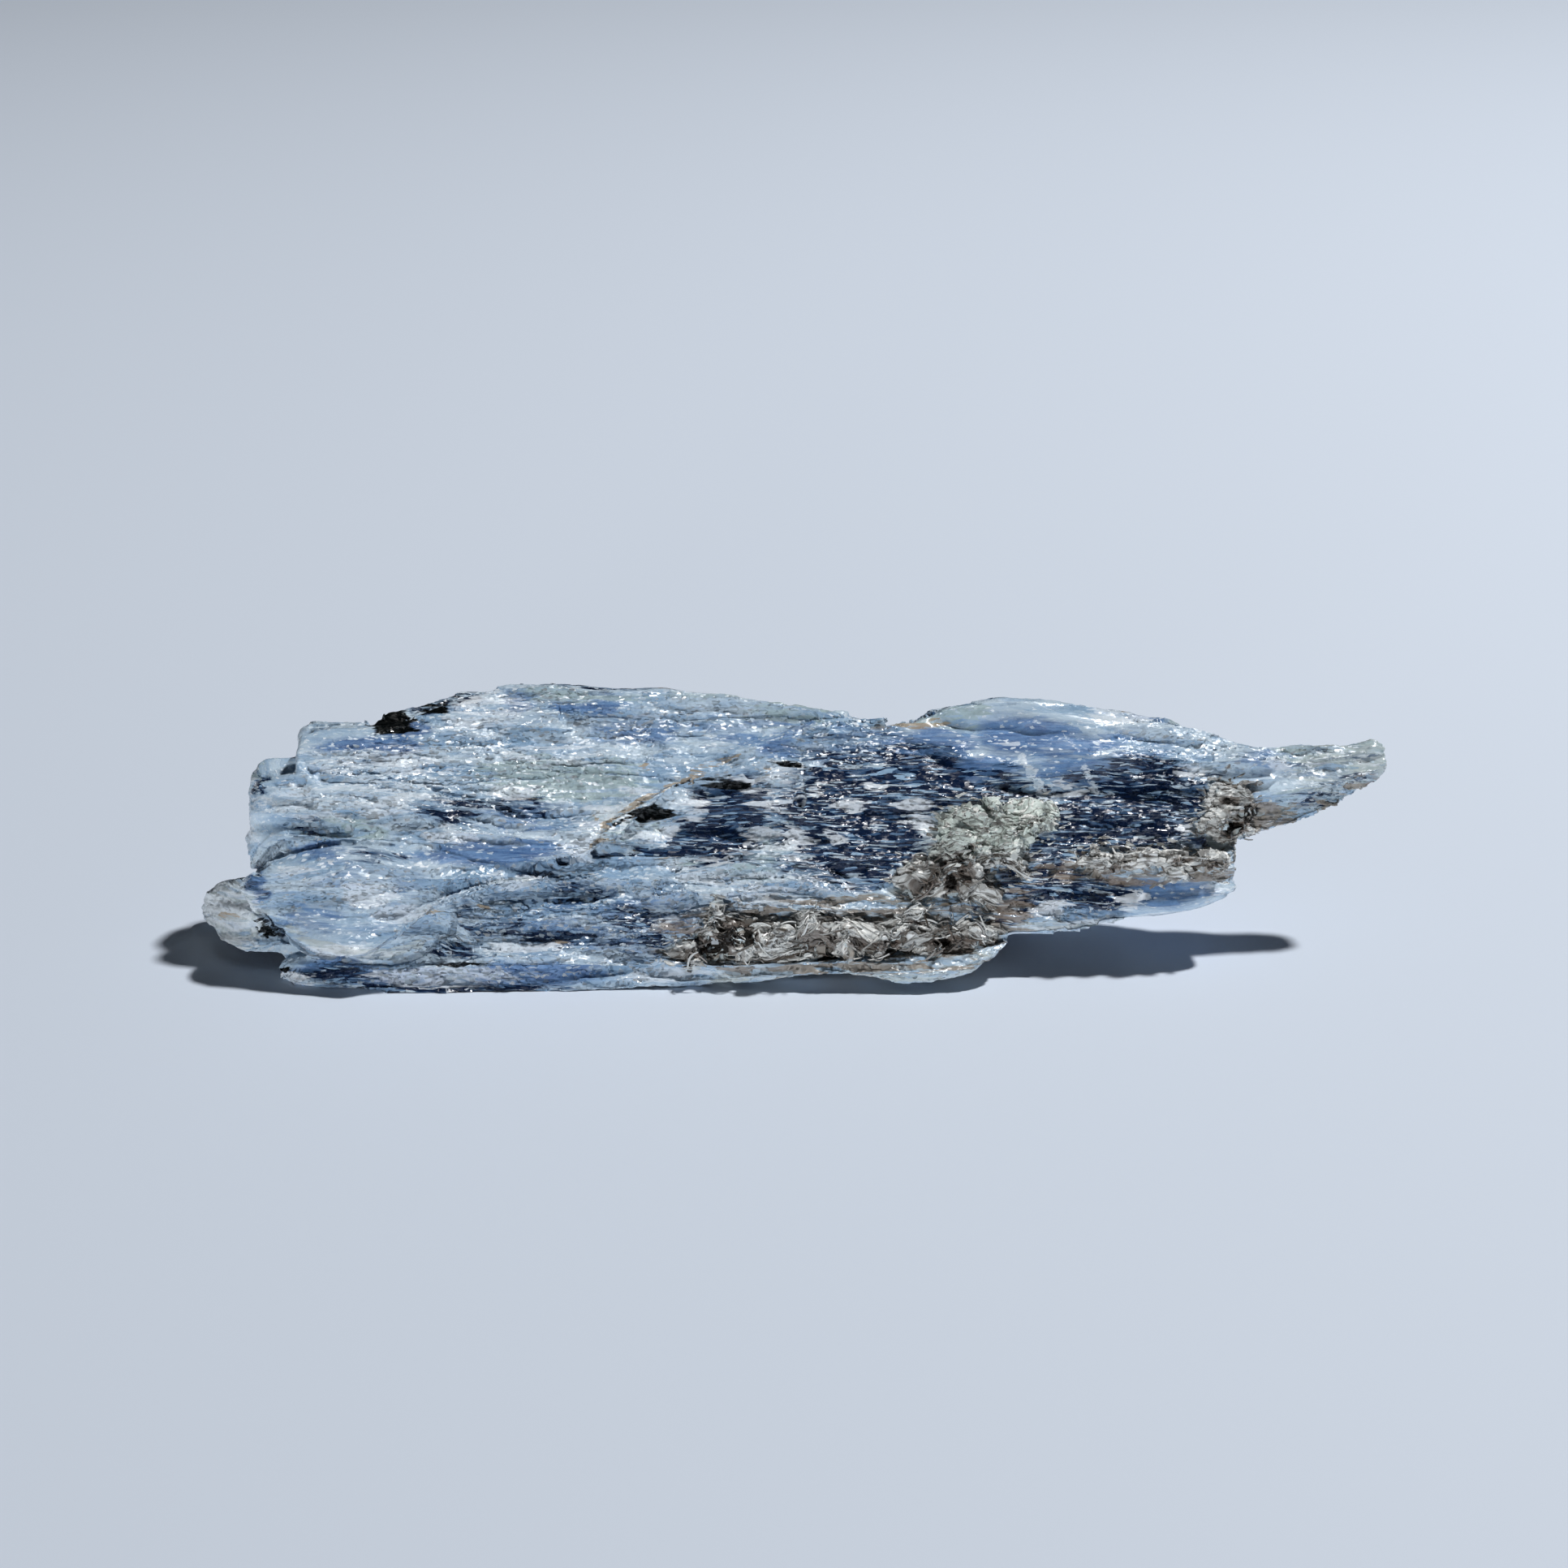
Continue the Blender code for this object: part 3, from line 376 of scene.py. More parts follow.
# patches: along, up, half length, half height, strength
markings = {
    "blue": [
        (-32.6, 19.3, 4.4, 0.7, 1), (-29.8, 20.5, 1.9, 0.8, 0.9), (-20.9, 22.8, 1.5, 1, 0.8),
        (-17, 22.3, 1, 0.5, 1), (-14.5, 22.2, 1.8, 0.6, 0.95), (-11.7, 20.4, 3.2, 1.1, 0.8),
        (-3.3, 20.6, 4.2, 1.4, 0.65), (0.3, 21.1, 1.5, 0.6, 0.9), (-1, 19.1, 1.9, 0.8, 0.85),
        (-23.2, 11, 5.6, 1.1, 0.95), (-36.3, 11.1, 1.9, 0.8, 0.7), (42, 16.9, 3.2, 0.5, 0.35),
        (11.2, 19.2, 3.6, 1.6, 0.9), (-41.1, 8.4, 0.8, 1.4, 1), (-37, 6, 2.9, 1.3, 0.55),
        (-35, 2, 3.2, 0.7, 1), (18, 20, 3.8, 1.5, 0.95), (14.8, 17.5, 3.2, 1.2, 1),
        (22.3, 17.2, 4.4, 1.2, 0.75), (28.6, 21.6, 2.3, 0.45, 1), (29.1, 7.9, 3.6, 1.4, 0.8),
        (36.6, 18.2, 2.2, 1, 0.5), (-14, 5.7, 8, 3, 0.45), (17.5, 19.8, 3.4, 1.2, 0.6),
        (-20, 13.6, 5, 1.2, 0.5), (6, 19, 5, 1.8, 0.5), (26, 19.4, 4, 1.2, 0.45), (-20, 1.6, 6, 0.9, 0.9),
        (-30, 1.3, 4.5, 0.8, 0.8), (21.5, 19.3, 4.5, 1, 0.8), (-34, 7.5, 6.5, 3.8, 0.3),
    ],
    "navy": [
        (-26.3, 14.2, 3, 0.9, 0.75), (-21.6, 14.6, 3.2, 0.9, 0.45), (-4.2, 14.9, 3, 2, 1.2),
        (-6.2, 11.8, 3.3, 1.7, 1.1), (4.8, 13.8, 5.6, 5, 1.25), (9.8, 16.4, 4.4, 2.3, 1.2),
        (6, 10.6, 4.4, 2, 1.1), (16, 15.4, 5.2, 1.4, 0.9), (24.8, 13.3, 6, 3.6, 1.1),
        (27.6, 16.6, 3.8, 1.9, 1.2), (31.6, 14.1, 3, 2.8, 0.9), (19.4, 8.5, 3.8, 1.9, 1),
        (23.5, 7.9, 3.4, 1.8, 0.75), (-19.4, 9.4, 1.4, 0.6, 0.45), (-10.9, 4.4, 3.4, 1.7, 0.6),
        (-16.4, 8, 2.4, 0.7, 0.8), (-12.4, 6.4, 1.8, 1, 0.7), (-17.5, 4.4, 3.4, 0.8, 0.6),
        (-22.5, 5.2, 2.4, 0.9, 0.5), (-24.6, 5.6, 1, 1.6, 0.5), (9.6, 18.4, 3.4, 1.1, 0.6),
        (-25.6, 3.5, 1.8, 0.6, 0.8), (42.6, 16.4, 2.6, 0.6, 0.4), (42.4, 17.8, 3.8, 1.6, 0.3),
        (-26.2, 23.2, 1.6, 0.8, 1.2), (-28.4, 22.2, 1.6, 0.6, 0.9), (-41.1, 16.3, 0.6, 1, 0.7),
        (-37, 12.8, 2, 0.8, 0.4), (4.8, 19.3, 4.2, 1.6, 0.4), (-32, 10.8, 2.4, 0.7, 0.5),
        (-41.1, 8.4, 0.6, 1.1, 0.6), (-35, 1.7, 3.4, 0.6, 1), (-26, 0.6, 9, 0.45, 1),
        (14.8, 17.3, 3.4, 1, 0.45), (40.2, 15.1, 2.4, 0.7, 0.6), (16, 6.2, 2.6, 1.2, 0.6),
        (18, 11.5, 2, 1.6, 0.8),
    ],
    "white": [
        (-23.4, 22.1, 3, 1.8, 0.6), (-21.8, 15.7, 1.6, 0.6, 0.95), (-32.2, 14.4, 3.3, 0.6, 0.85),
        (-31.5, 16.8, 5.8, 2.6, 0.55), (-35.5, 15, 5.2, 1.7, 0.5), (-25.7, 12.5, 2.4, 0.8, 0.6),
        (-32.8, 7.8, 2, 0.9, 1.1), (-29.5, 6.4, 2.6, 0.7, 0.7), (-38, 9.5, 1.8, 0.9, 0.6),
        (-21.4, 8.9, 2, 0.8, 0.75), (-33.8, 3.2, 3.6, 0.6, 0.7), (-43.6, 6, 2.6, 3.2, 0.65),
        (-20.7, 3.8, 3, 0.3, 1), (-27, 1.4, 5.4, 0.6, 0.8), (-10, 1.7, 3.6, 0.8, 0.6),
        (-37.7, 1.2, 1, 0.7, 0.7), (-14.5, 13.6, 3.2, 1.6, 0.5), (-16.5, 11, 1.4, 0.8, 0.8),
        (-7.9, 14.4, 1.4, 1.2, 0.7), (-1.8, 16, 2.6, 1.9, 0.55), (-10.5, 12.5, 1.7, 1, 0.6),
        (-1, 12.1, 2.4, 1, 0.7), (-3.7, 9.7, 6.2, 1.5, 0.45), (-2.7, 7.1, 4.8, 0.9, 0.6),
        (-1, 22.5, 2.5, 0.8, 0.6), (25.3, 21.5, 2.8, 0.8, 0.75), (20.3, 6.7, 1.4, 0.6, 0.9),
        (33.3, 14.4, 0.9, 0.8, 0.9), (41.6, 17.8, 3, 1, 0.2), (45, 18.6, 1.2, 1.2, 0.4),
        (-15.5, 12.6, 1.4, 1.2, 0.8), (-12.5, 13.9, 2.4, 0.5, 0.8), (35, 15.4, 1.2, 0.5, 0.9),
        (33, 8, 1.4, 0.9, 0.6), (6.3, 16, 1, 0.3, 0.95), (4.6, 14.6, 1.2, 0.5, 0.95),
        (9.4, 14.6, 1.8, 0.5, 0.6), (3.7, 12.3, 0.9, 0.7, 0.7), (1.8, 15.8, 0.6, 0.7, 0.7),
        (-17, 18.6, 5, 1.2, 0.4), (30.5, 12.5, 0.9, 0.7, 0.8), (37.5, 18, 1, 0.7, 0.7),
        (1, 8.6, 4, 1, 0.4), (26, 7.2, 1, 1, 0.7), (21.2, 16, 1.2, 0.6, 0.6), (30.8, 17.4, 1.2, 0.8, 0.6),
        (10.2, 13.4, 1.6, 0.5, 0.8), (2.5, 6.5, 3, 0.4, 0.7), (9, 6.4, 3, 0.5, 0.6),
        (-13.6, 14.3, 1.4, 0.5, 0.8), (-11.4, 15.8, 1.6, 0.4, 0.7),
    ],
    "green": [
        (-17.4, 16.8, 6.4, 1.7, 0.75), (-9.6, 23.1, 8, 0.7, 0.6), (-18.7, 23.4, 2.4, 0.6, 0.7),
        (-35, 12.8, 3.4, 0.9, 0.6), (-1, 12.1, 2.4, 1, 0.8), (12.4, 21.8, 2.6, 1.1, 1.1),
        (44.6, 18, 2.4, 2.6, 1), (40.5, 18.6, 3.4, 1, 0.7), (6.4, 21.4, 5.4, 0.8, 0.6),
        (-3.7, 10.2, 4.4, 1.1, 0.5), (-13, 13.2, 3, 1.6, 0.5), (-21.4, 8.7, 1.6, 0.7, 0.6),
        (40.5, 14.5, 3.6, 1.6, 0.5), (-42, 17.5, 1.6, 2, 0.5),
    ],
    # black patches; three of them are painted shade rather than black stone: the cavity at -40.6, 5.2, the
    # crack at -26.4, 2.4 and the shadow line under the strip at -18, 9.9
    "ink": [
        (-30.6, 21, 1.7, 0.9, 1), (-27.9, 22.4, 1.5, 0.7, 0.8), (-10.7, 14, 1.6, 0.6, 1),
        (-0.3, 17.8, 1.3, 0.3, 0.8), (-40.6, 5.2, 1.2, 0.7, 0.62), (-26.4, 2.4, 2.6, 0.2, 0.8),
        (-18, 9.9, 3.6, 0.12, 0.35), (-38.4, 2.1, 0.35, 0.3, 1), (-5, 16.3, 2, 0.4, 0.9),
        (35.6, 13.8, 0.5, 0.4, 0.9), (34.2, 12.9, 0.6, 0.3, 0.8),
    ],
    "brown": [
        (28.5, 9.9, 6.4, 1.2, 0.85), (37.4, 12.7, 3, 1.2, 0.9), (44, 16.2, 2.4, 0.8, 0.4),
        (40.5, 14.2, 3, 0.8, 0.6), (34.8, 14, 2.2, 2.2, 0.8), (17.2, 6.4, 1.9, 0.9, 0.9),
        (4, 4.4, 13.6, 3, 0.6), (14.6, 9.4, 5.6, 3.4, 0.35), (22, 9.6, 1.6, 0.9, 0.7),
    ],
    "rust": [
        (10.2, 21, 2.2, 0.35, 0.85), (-22.7, 7.1, 0.9, 0.2, 0.6), (-27.2, 6.2, 0.8, 0.2, 0.55),
        (-43.4, 6, 0.5, 0.25, 0.8), (-15.4, 13.9, 0.25, 0.25, 1), (-10.7, 17.7, 0.25, 0.25, 1),
        (-2.3, 17.2, 0.22, 0.22, 0.9), (12.3, 7.2, 0.5, 0.3, 0.8), (-18, 4.2, 0.5, 0.2, 0.5),
        (-14.2, 11.6, 0.7, 0.5, 0.4),
    ],
    "leaf": [
        (8.5, 1.9, 8, 1.3, 0.6), (14.2, 2.6, 2.2, 1.6, 0.8), (-1.5, 0.9, 6, 0.7, 0.6),
        (22, 5.2, 6, 0.8, 0.5), (-43.6, 6, 2.6, 3.6, 0.8), (42.8, 17.6, 4.6, 2.2, 0.75),
        (9.6, 12.2, 2.4, 1.6, 0.9), (9, 9.4, 1.8, 1.6, 0.6), (4, 7, 8, 0.9, 0.5),
        (19.8, 12.6, 1.2, 1.6, 0.6),
    ],
    "crumb": [
        (-14, 6.2, 9.5, 3.8, 0.9), (-28, 19.2, 7.5, 4.2, 0.6), (-32, 8.6, 4.5, 2.2, 0.5),
        (-26, 1.5, 8, 1, 0.7), (4.5, 19.5, 5, 2, 0.6), (-1, 12.1, 2.8, 1.2, 0.9), (-23, 6, 8, 3.6, 0.8),
        (-8, 21.4, 8, 2.2, 0.35), (28, 19.6, 6, 1.7, 0.35), (41.5, 16.5, 4.5, 2.6, 0.85),
        (-36, 15, 5.5, 2.8, 0.35), (-2, 8.6, 6, 2.4, 0.5), (22, 8, 7, 2.4, 0.5), (5, 13.5, 9, 5, 0.12),
        (-19, 17.2, 8, 2, 0.35), (30, 14, 5, 3, 0.2),
    ],
    "glass": [
        (19, 20.4, 7, 2.6, 1), (22, 17.3, 5, 1.4, 0.8), (14.5, 17.6, 3.4, 1.4, 0.8),
        (-10, 22.8, 6, 1, 0.6), (29.4, 7.6, 4.2, 2, 1), (-23.2, 10.8, 4.8, 0.9, 0.8),
        (-36.5, 5.2, 3.2, 1.8, 0.7), (38.5, 16.6, 3, 1.4, 0.7), (-2.6, 20.2, 4, 1.6, 0.4),
        (-43.4, 6, 2.8, 3.6, 0.55), (-41, 14.5, 2.2, 3.8, 0.9), (-40, 19, 2.4, 2.2, 0.9),
        (12.4, 20.6, 4, 1.5, 0.9), (44.5, 17.6, 2.6, 2.6, 0.6), (-32, 20.2, 5, 0.8, 0.5),
    ],
}
# lines: from along, up, to along, up, half height, strength
lines = {
    "bend": {"rust": 0.8, "cleft": 0.25, "groove": 0.3},  # how far each kind follows the ragged edges
    # grooves are cut into the blades and are also painted darker along them, as painted shade
    "groove": [
        (-41.3, 9.6, -39.3, 11.6, 0.2, 1), (-39.3, 11.6, -35.9, 12.5, 0.2, 0.6),
        (-35.9, 12.5, -32.1, 12.4, 0.2, 0.45), (-32.1, 12.4, -28.4, 11.7, 0.2, 0.4),
        (-28.4, 11.7, -24.6, 10.5, 0.2, 0.5), (-24.6, 10.5, -17.6, 9.3, 0.18, 0.6),
        (-41.2, 6.4, -39.3, 4.6, 0.22, 1), (-39.3, 4.6, -36.8, 3.1, 0.2, 1),
        (-36.8, 3.1, -34, 2.6, 0.2, 1), (-34, 2.6, -30.9, 2.5, 0.2, 1), (-30.9, 2.5, -28.2, 3.2, 0.2, 0.9),
        (-28.2, 3.2, -26.4, 4.6, 0.2, 0.9), (-26.4, 4.6, -25.5, 6.4, 0.2, 0.8),
        (-25.5, 6.4, -26.2, 8.6, 0.18, 0.5), (-15.4, 11.2, -13.8, 13.5, 0.14, 0.6),
        (-13.8, 13.5, -9, 16.1, 0.14, 0.45), (-9, 16.1, -4.1, 18.2, 0.14, 0.4),
        (0.8, 21.2, 0.9, 14.4, 0.12, 0.35), (-15.2, 11.4, -10.9, 11.3, 0.12, 0.8),
    ],
    "leaf": [
        (-38.8, 5.1, -36.6, 3.9, 0.35, 0.9), (-36.6, 3.9, -34, 3.3, 0.35, 1),
        (-34, 3.3, -30.9, 3.2, 0.35, 1), (-30.9, 3.2, -28.6, 3.9, 0.35, 0.8),
    ],
    "cleft": [
        (17.8, 18.4, 18.5, 17.3, 0.34, 0.8), (18.5, 17.3, 19.6, 15.2, 0.42, 0.8),
        (19.2, 15.4, 20.6, 15, 0.25, 0.7), (22.7, 17.5, 23.4, 15.8, 0.28, 0.7),
        (21, 20.1, 23, 18.4, 0.14, 0.5), (0.6, 21.2, 0.9, 14.4, 0.12, 0.5),
    ],
    "white": [
        (17.3, 4.8, 30.4, 5.9, 0.5, 0.6), (-10.5, 5.4, -6, 7, 0.3, 0.6), (14, 20, 17.5, 19.4, 0.25, 0.4),
    ],
    "rust": [
        (-15.4, 11.2, -14.6, 12.6, 0.3, 0.6), (-14.6, 12.6, -13.8, 13.6, 0.34, 0.66),
        (-13.8, 13.6, -11, 15.3, 0.28, 0.62), (-11, 15.3, -9, 16.2, 0.3, 0.66),
        (-9, 16.2, -6.1, 17.8, 0.26, 0.6), (-6.1, 17.8, -4.1, 18.2, 0.24, 0.58),
        (-13, 11.2, -9, 10.9, 0.2, 0.25), (-24, 15.3, -16, 14.9, 0.2, 0.2),
    ],
    "ink": [
        (-10, 16, -4.6, 16.9, 0.14, 0.8), (-13.6, 13.2, -12, 13.9, 0.14, 0.6),
    ],
}


def warpedPlaces(points):
    # where each point is seen on the face, with the edges of all markings made ragged
    along, up, into = toFace(points).T
    nearness = face["distance"] / (face["distance"] + into - face["middle"][2])
    along = (along - face["middle"][0]) * nearness + face["middle"][0]
    up = (up - face["middle"][1]) * nearness + face["middle"][1]
    flat = np.stack([along, up, into], axis=1)
    shift = 1.5 * smoothNoise(flat, (4.0, 0.6, 2.0), 11, 4)
    rise = 0.4 * smoothNoise(flat, (3.0, 1.0, 2.0), 12, 4)
    return along, up, shift, rise


def frontMarks(places, kind):
    straightAlong, straightUp, shift, rise = places
    along, up = straightAlong + shift, straightUp + rise
    value = np.zeros(len(along))
    for *oval, strength in markings.get(kind, []):
        value = np.maximum(value, strength * faded(fromOval(along, up, *oval), 0.9))
    bent = lines["bend"].get(kind, 0.2)
    along, up = straightAlong + bent * shift, straightUp + bent * rise
    for x, y, endX, endY, half, strength in lines.get(kind, []):
        run = np.array([endX - x, endY - y])
        share = np.clip(((along - x) * run[0] + (up - y) * run[1]) / run.dot(run), 0, 1)
        distance = np.hypot(along - x - share * run[0], up - y - share * run[1]) / half
        value = np.maximum(value, strength * faded(distance))
    return value


# what the sides and the back have: the size of its patches, how much of them, and a seed
backMarks = {
    "blue": ((16.0, 3.2, 3.2), 0.10, 41),
    "navy": ((13.0, 3.0, 3.0), -0.22, 42),
    "white": ((7.0, 1.6, 1.6), -0.05, 43),
    "green": ((14.0, 4.0, 4.0), 0.0, 44),
    "ink": ((5.0, 1.2, 1.2), -0.66, 45),
    "brown": ((9.0, 3.0, 3.0), -0.34, 46),
    "rust": ((4.0, 1.0, 1.0), -0.6, 47),
    "glass": ((12.0, 4.0, 4.0), -0.1, 48),
    "crumb": ((9.0, 3.5, 3.5), 0.1, 49),
    "leaf": ((10.0, 3.0, 3.0), -0.25, 50),
    "cleft": ((6.0, 2.0, 2.0), -1.5, 51),
    "groove": ((6.0, 2.0, 2.0), -1.5, 52),
}


def markMesh(mesh):
    points = pointsOf(mesh)
    local = toFace(points)
    places = warpedPlaces(points)
    depth = np.interp(local[:, 0], *zip(*face["depths"]))
    front = np.clip((depth - local[:, 2]) / 2.5, 0, 1)
    for kind, (size, amount, seed) in backMarks.items():
        behind = np.clip((smoothNoise(local, size, seed, 2) + amount) * 2.2, 0, 1)
        keepValues(mesh, kind, front * frontMarks(places, kind) + (1 - front) * behind)


# the rounded lobe at the front left, whose grain bulges with its outline
lobe = {"middle": (-33.4, 7.0), "halfSize": (8.2, 4.6), "depth": 4.5, "bend": 0.05}


def lobeShare(local):
    distance = fromOval(local[:, 0], local[:, 1], *lobe["middle"], *lobe["halfSize"])
    return faded(distance, 0.5) * np.clip(lobe["depth"] - local[:, 2], 0, 1)


def keepGrain(mesh):
    # the way that the fibres run: along the blades, wavering a little, and round the lobe
    local = toFace(pointsOf(mesh))
    grain = local.copy()
    grain[:, 1] += 0.5 * smoothNoise(local, (9.0, 3.0, 3.0), 21)
    grain[:, 2] += 0.5 * smoothNoise(local, (9.0, 3.0, 3.0), 22)
    inLobe = lobeShare(local)
    grain[:, 2] *= 1 - 0.75 * np.clip((-39.0 - local[:, 0]) / 2.5, 0, 1)  # streaks run over the left ends
    run, rise = local[:, 0] - lobe["middle"][0], local[:, 1] - lobe["middle"][1]
    bulge = lobe["bend"] * np.clip(run**2, 0, 70) * np.clip(rise / lobe["halfSize"][1], -1, 1)
    grain[:, 1] += inLobe * bulge
    keepVectors(mesh, "grain", grain)
    return inLobe


blades = {
    "square": 0.165,
    "swell": 0.17,  # closes the joints round the mica before it is laid on
    "smoothing": 5,
    "layers": (
        # size of a lath along, across and through; step between laths; tilt of a lath
        ((16.0, 2.5, 5.0), 0.17, 0.11),
        ((5.5, 1.05, 2.4), 0.10, 0.15),
        ((2.2, 0.5, 1.4), 0.06, 0.10),
        ((0.9, 0.26, 0.6), 0.035, 0.06),
    ),
    "roughness": {"patch": (6.0, 1.8, 3.0), "least": 0.45, "spread": 1.3},
    "fillers": ((-40.0, 10.9, 6.2, 1.7, 0.8, 2.0),),  # along, up, into, and half sizes
    "polish": {"rounds": 80, "fill": 0.16},
    "worn": ((6.4, 22.0, 2.0, 1.0, 0.4),),  # along, up, half length, half height, how far it is worn down
    "bed": {"reach": 0.5, "sink": 0.36, "near": 1.3, "stains": {"leaf": 1.2, "brown": 0.25}},
    "groove": 0.32,  # how deep a groove is cut
    "endGrowth": 0.3,
    "glassCalm": 0.75,  # how far the steps fade on the clear blades
    "softAngle": 32,
    "lengths": ("kyanite_left", "kyanite_plate", "kyanite_heart", "kyanite_right"),
}


def reliefTree(layerCount):
    sockets = [("Mesh", "NodeSocketGeometry"), ("Sink", "NodeSocketFloat"), ("Finish", "NodeSocketMaterial")]
    for k in range(layerCount):
        sockets += [(f"Size {k}", "NodeSocketVector"), (f"Step {k}", "NodeSocketFloat"),
                    (f"Tilt {k}", "NodeSocketFloat")]
    tree = newTree("stepped cleavage", sockets, "Mesh")
    g = Graph(tree)
    given = g.add("NodeGroupInput").outputs
    grain = g.readFrom("grain", "FLOAT_VECTOR")
    relief = g.readFrom("relief")
    height = g.share(relief, 0.0)
    for k in range(layerCount):
        chance, away = g.cells(grain, given[f"Size {k}"])
        step = g.share(g.centred(chance[0], 2.0), given[f"Step {k}"])
        tilt = g.share(g.centred(chance[1], 2.0), given[f"Tilt {k}"])
        slope = g.share(tilt, g.parts(away)[1])
        height = g.added(height, g.share(g.added(step, slope), relief))
    sunk = g.added(given["Sink"], g.readFrom("buried"))
    normal = g.add("GeometryNodeInputNormal").outputs[0]
    # the height is also kept; the finishes paint raised places lighter and sunken ones darker by it, as
    # painted light and shade
    moved = g.add("GeometryNodeSetPosition", {
        "Geometry": g.store(given["Mesh"], "height", height, "POINT"),
        "Offset": g.scaled(normal, g.share(g.math("SUBTRACT", height, sunk), mm)),
    })
    g.finished(moved.outputs[0], given["Finish"])
    return tree


def layerValues(layers, sink, material):
    values = {"Sink": sink, "Finish": material}
    for k, (size, step, tilt) in enumerate(layers):
        values.update({f"Size {k}": size, f"Step {k}": step, f"Tilt {k}": tilt})
    return values


stepped = {"kyanite": reliefTree(4), "mica": reliefTree(2)}


def buryUnderMica(mesh):
    # where mica lies on the blades they are sunk and stained, so that nothing blue comes through it
    masses = bmesh.new()
    for node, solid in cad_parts.items():
        if node != "kyanite_blades":
            masses.from_mesh(solid.data)
    tree = BVHTree.FromBMesh(masses)
    masses.free()
    reach, near = blades["bed"]["reach"], blades["bed"]["near"]
    gaps = np.array([near if found[3] is None else found[3] / mm
                     for found in (tree.find_nearest(point, near * mm) for point in pointsOf(mesh))])
    under = np.clip(1.4 - 1.4 * gaps / reach, 0, 1)
    keepValues(mesh, "near", np.clip(gaps / 0.2, 0, 1) * np.clip(1.3 * (1 - gaps / near), 0, 1))
    keepValues(mesh, "buried", blades["bed"]["sink"] * under + blades["groove"] * readValues(mesh, "groove"))
    for kind in ("blue", "navy", "glass", "crumb"):
        keepValues(mesh, kind, readValues(mesh, kind) * (1 - under))
    for kind, stain in blades["bed"]["stains"].items():
        keepValues(mesh, kind, np.maximum(readValues(mesh, kind), stain * under))


def smoothGlass(piece):
    # the clear blades have lost their creases; they are filled out a little, so that they keep their size
    clear = readValues(piece.data, "glass")
    group = piece.vertex_groups.new(name="clear")
    for index in np.nonzero(clear > 0.05)[0]:
        group.add([int(index)], float(min(clear[index], 1.0)), "REPLACE")
    polish = piece.modifiers.new("polish", "SMOOTH")
    polish.vertex_group = "clear"
    polish.factor = 0.5
    polish.iterations = blades["polish"]["rounds"]
    applyModifiers(piece)
    mesh = piece.data
    fuller = blades["polish"]["fill"] * np.clip(clear, 0, 1) * mm
    movePoints(mesh, pointsOf(mesh) + normalsOf(mesh) * fuller[:, None])
    piece.vertex_groups.clear()


def wearDown(mesh):
    # edges that are lower than the plain solid, worn away towards the foot
    local = toFace(pointsOf(mesh))
    down = Vector((0, -leanSin, -leanCos)) * mm
    for *oval, depth in blades["worn"]:
        worn = depth * faded(fromOval(local[:, 0], local[:, 1], *oval), 1.4)
        movePoints(mesh, pointsOf(mesh) + worn[:, None] * np.array(down))


def layBlades():
    piece = denseCopy(list(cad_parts), "kyanite", blades["square"], blades["swell"],
                      blades["smoothing"], blades["fillers"])
    wearDown(piece.data)
    markMesh(piece.data)
    smoothGlass(piece)
    mesh = piece.data
    markMesh(mesh)
    buryUnderMica(mesh)
    inLobe = keepGrain(mesh)
    ends = np.clip(np.abs(normalsOf(mesh)[:, 0]) * 1.6 - 0.6, 0, 1)
    glassy = np.maximum(readValues(mesh, "glass"), 0.7 * inLobe)
    keepValues(mesh, "white", np.maximum(readValues(mesh, "white"), 0.55 * ends))
    rules = blades["roughness"]
    rough = 0.5 + 0.7 * smoothNoise(toFace(pointsOf(mesh)), rules["patch"], 72)
    rough = np.clip((rough + 0.3 * readValues(mesh, "crumb")) * (1 - blades["glassCalm"] * glassy), 0, 1)
    keepValues(mesh, "rough", rough)
    relief = (rules["least"] + rules["spread"] * rough) / (rules["least"] + 0.5 * rules["spread"])
    calm = (1 - 0.6 * glassy) * (1 - 0.6 * np.clip(readValues(mesh, "navy"), 0, 1))
    keepValues(mesh, "relief", relief * calm * (1 + blades["endGrowth"] * ends))
    giveTree(piece, stepped["kyanite"], layerValues(blades["layers"], blades["swell"], kyanite))
    applyModifiers(piece)
    points = pointsOf(piece.data)
    points[:, 2] = np.maximum(points[:, 2], 0)
    movePoints(piece.data, points)
    return piece


def openEdges(shell):
    return [edge for edge in shell.edges if edge.is_boundary]


def closeCut(shell, side):
    # a flat cap over the rim of a cut, laid between the rim's own corners; a known fault is that
    # every open edge counts as rim, so what a first cut left open is drawn into the second cap
    rim = openEdges(shell)
    corners = list(dict.fromkeys(corner for edge in rim for corner in edge.verts))
    number = {corner: k for k, corner in enumerate(corners)}
    flat = [Vector((corner.co.y, corner.co.z)) for corner in corners]
    outline = [tuple(number[corner] for corner in edge.verts) for edge in rim]
    insideWithHoles = 2  # the kind of filling
    laid = delaunay_2d_cdt(flat, outline, [], insideWithHoles, 1e-7)
    triangles, cornersBefore = laid[2], laid[3]
    for triangle in triangles:
        picked = [corners[cornersBefore[k][0]] for k in triangle if cornersBefore[k]]
        crowded = any(len(edge.link_faces) > 1 for corner in picked for edge in corner.link_edges
                      if edge.other_vert(corner) in picked)
        if len(set(picked)) == 3 and not crowded and not shell.faces.get(picked):
            shell.faces.new(picked if side > 0 else picked[::-1])
    # where the rim crosses itself small gaps are left, and most of those take a patch
    for attempt in range(2):
        patches = bmesh.ops.holes_fill(shell, edges=openEdges(shell), sides=0)["faces"]
        bmesh.ops.triangulate(shell, faces=patches, ngon_method="EAR_CLIP")


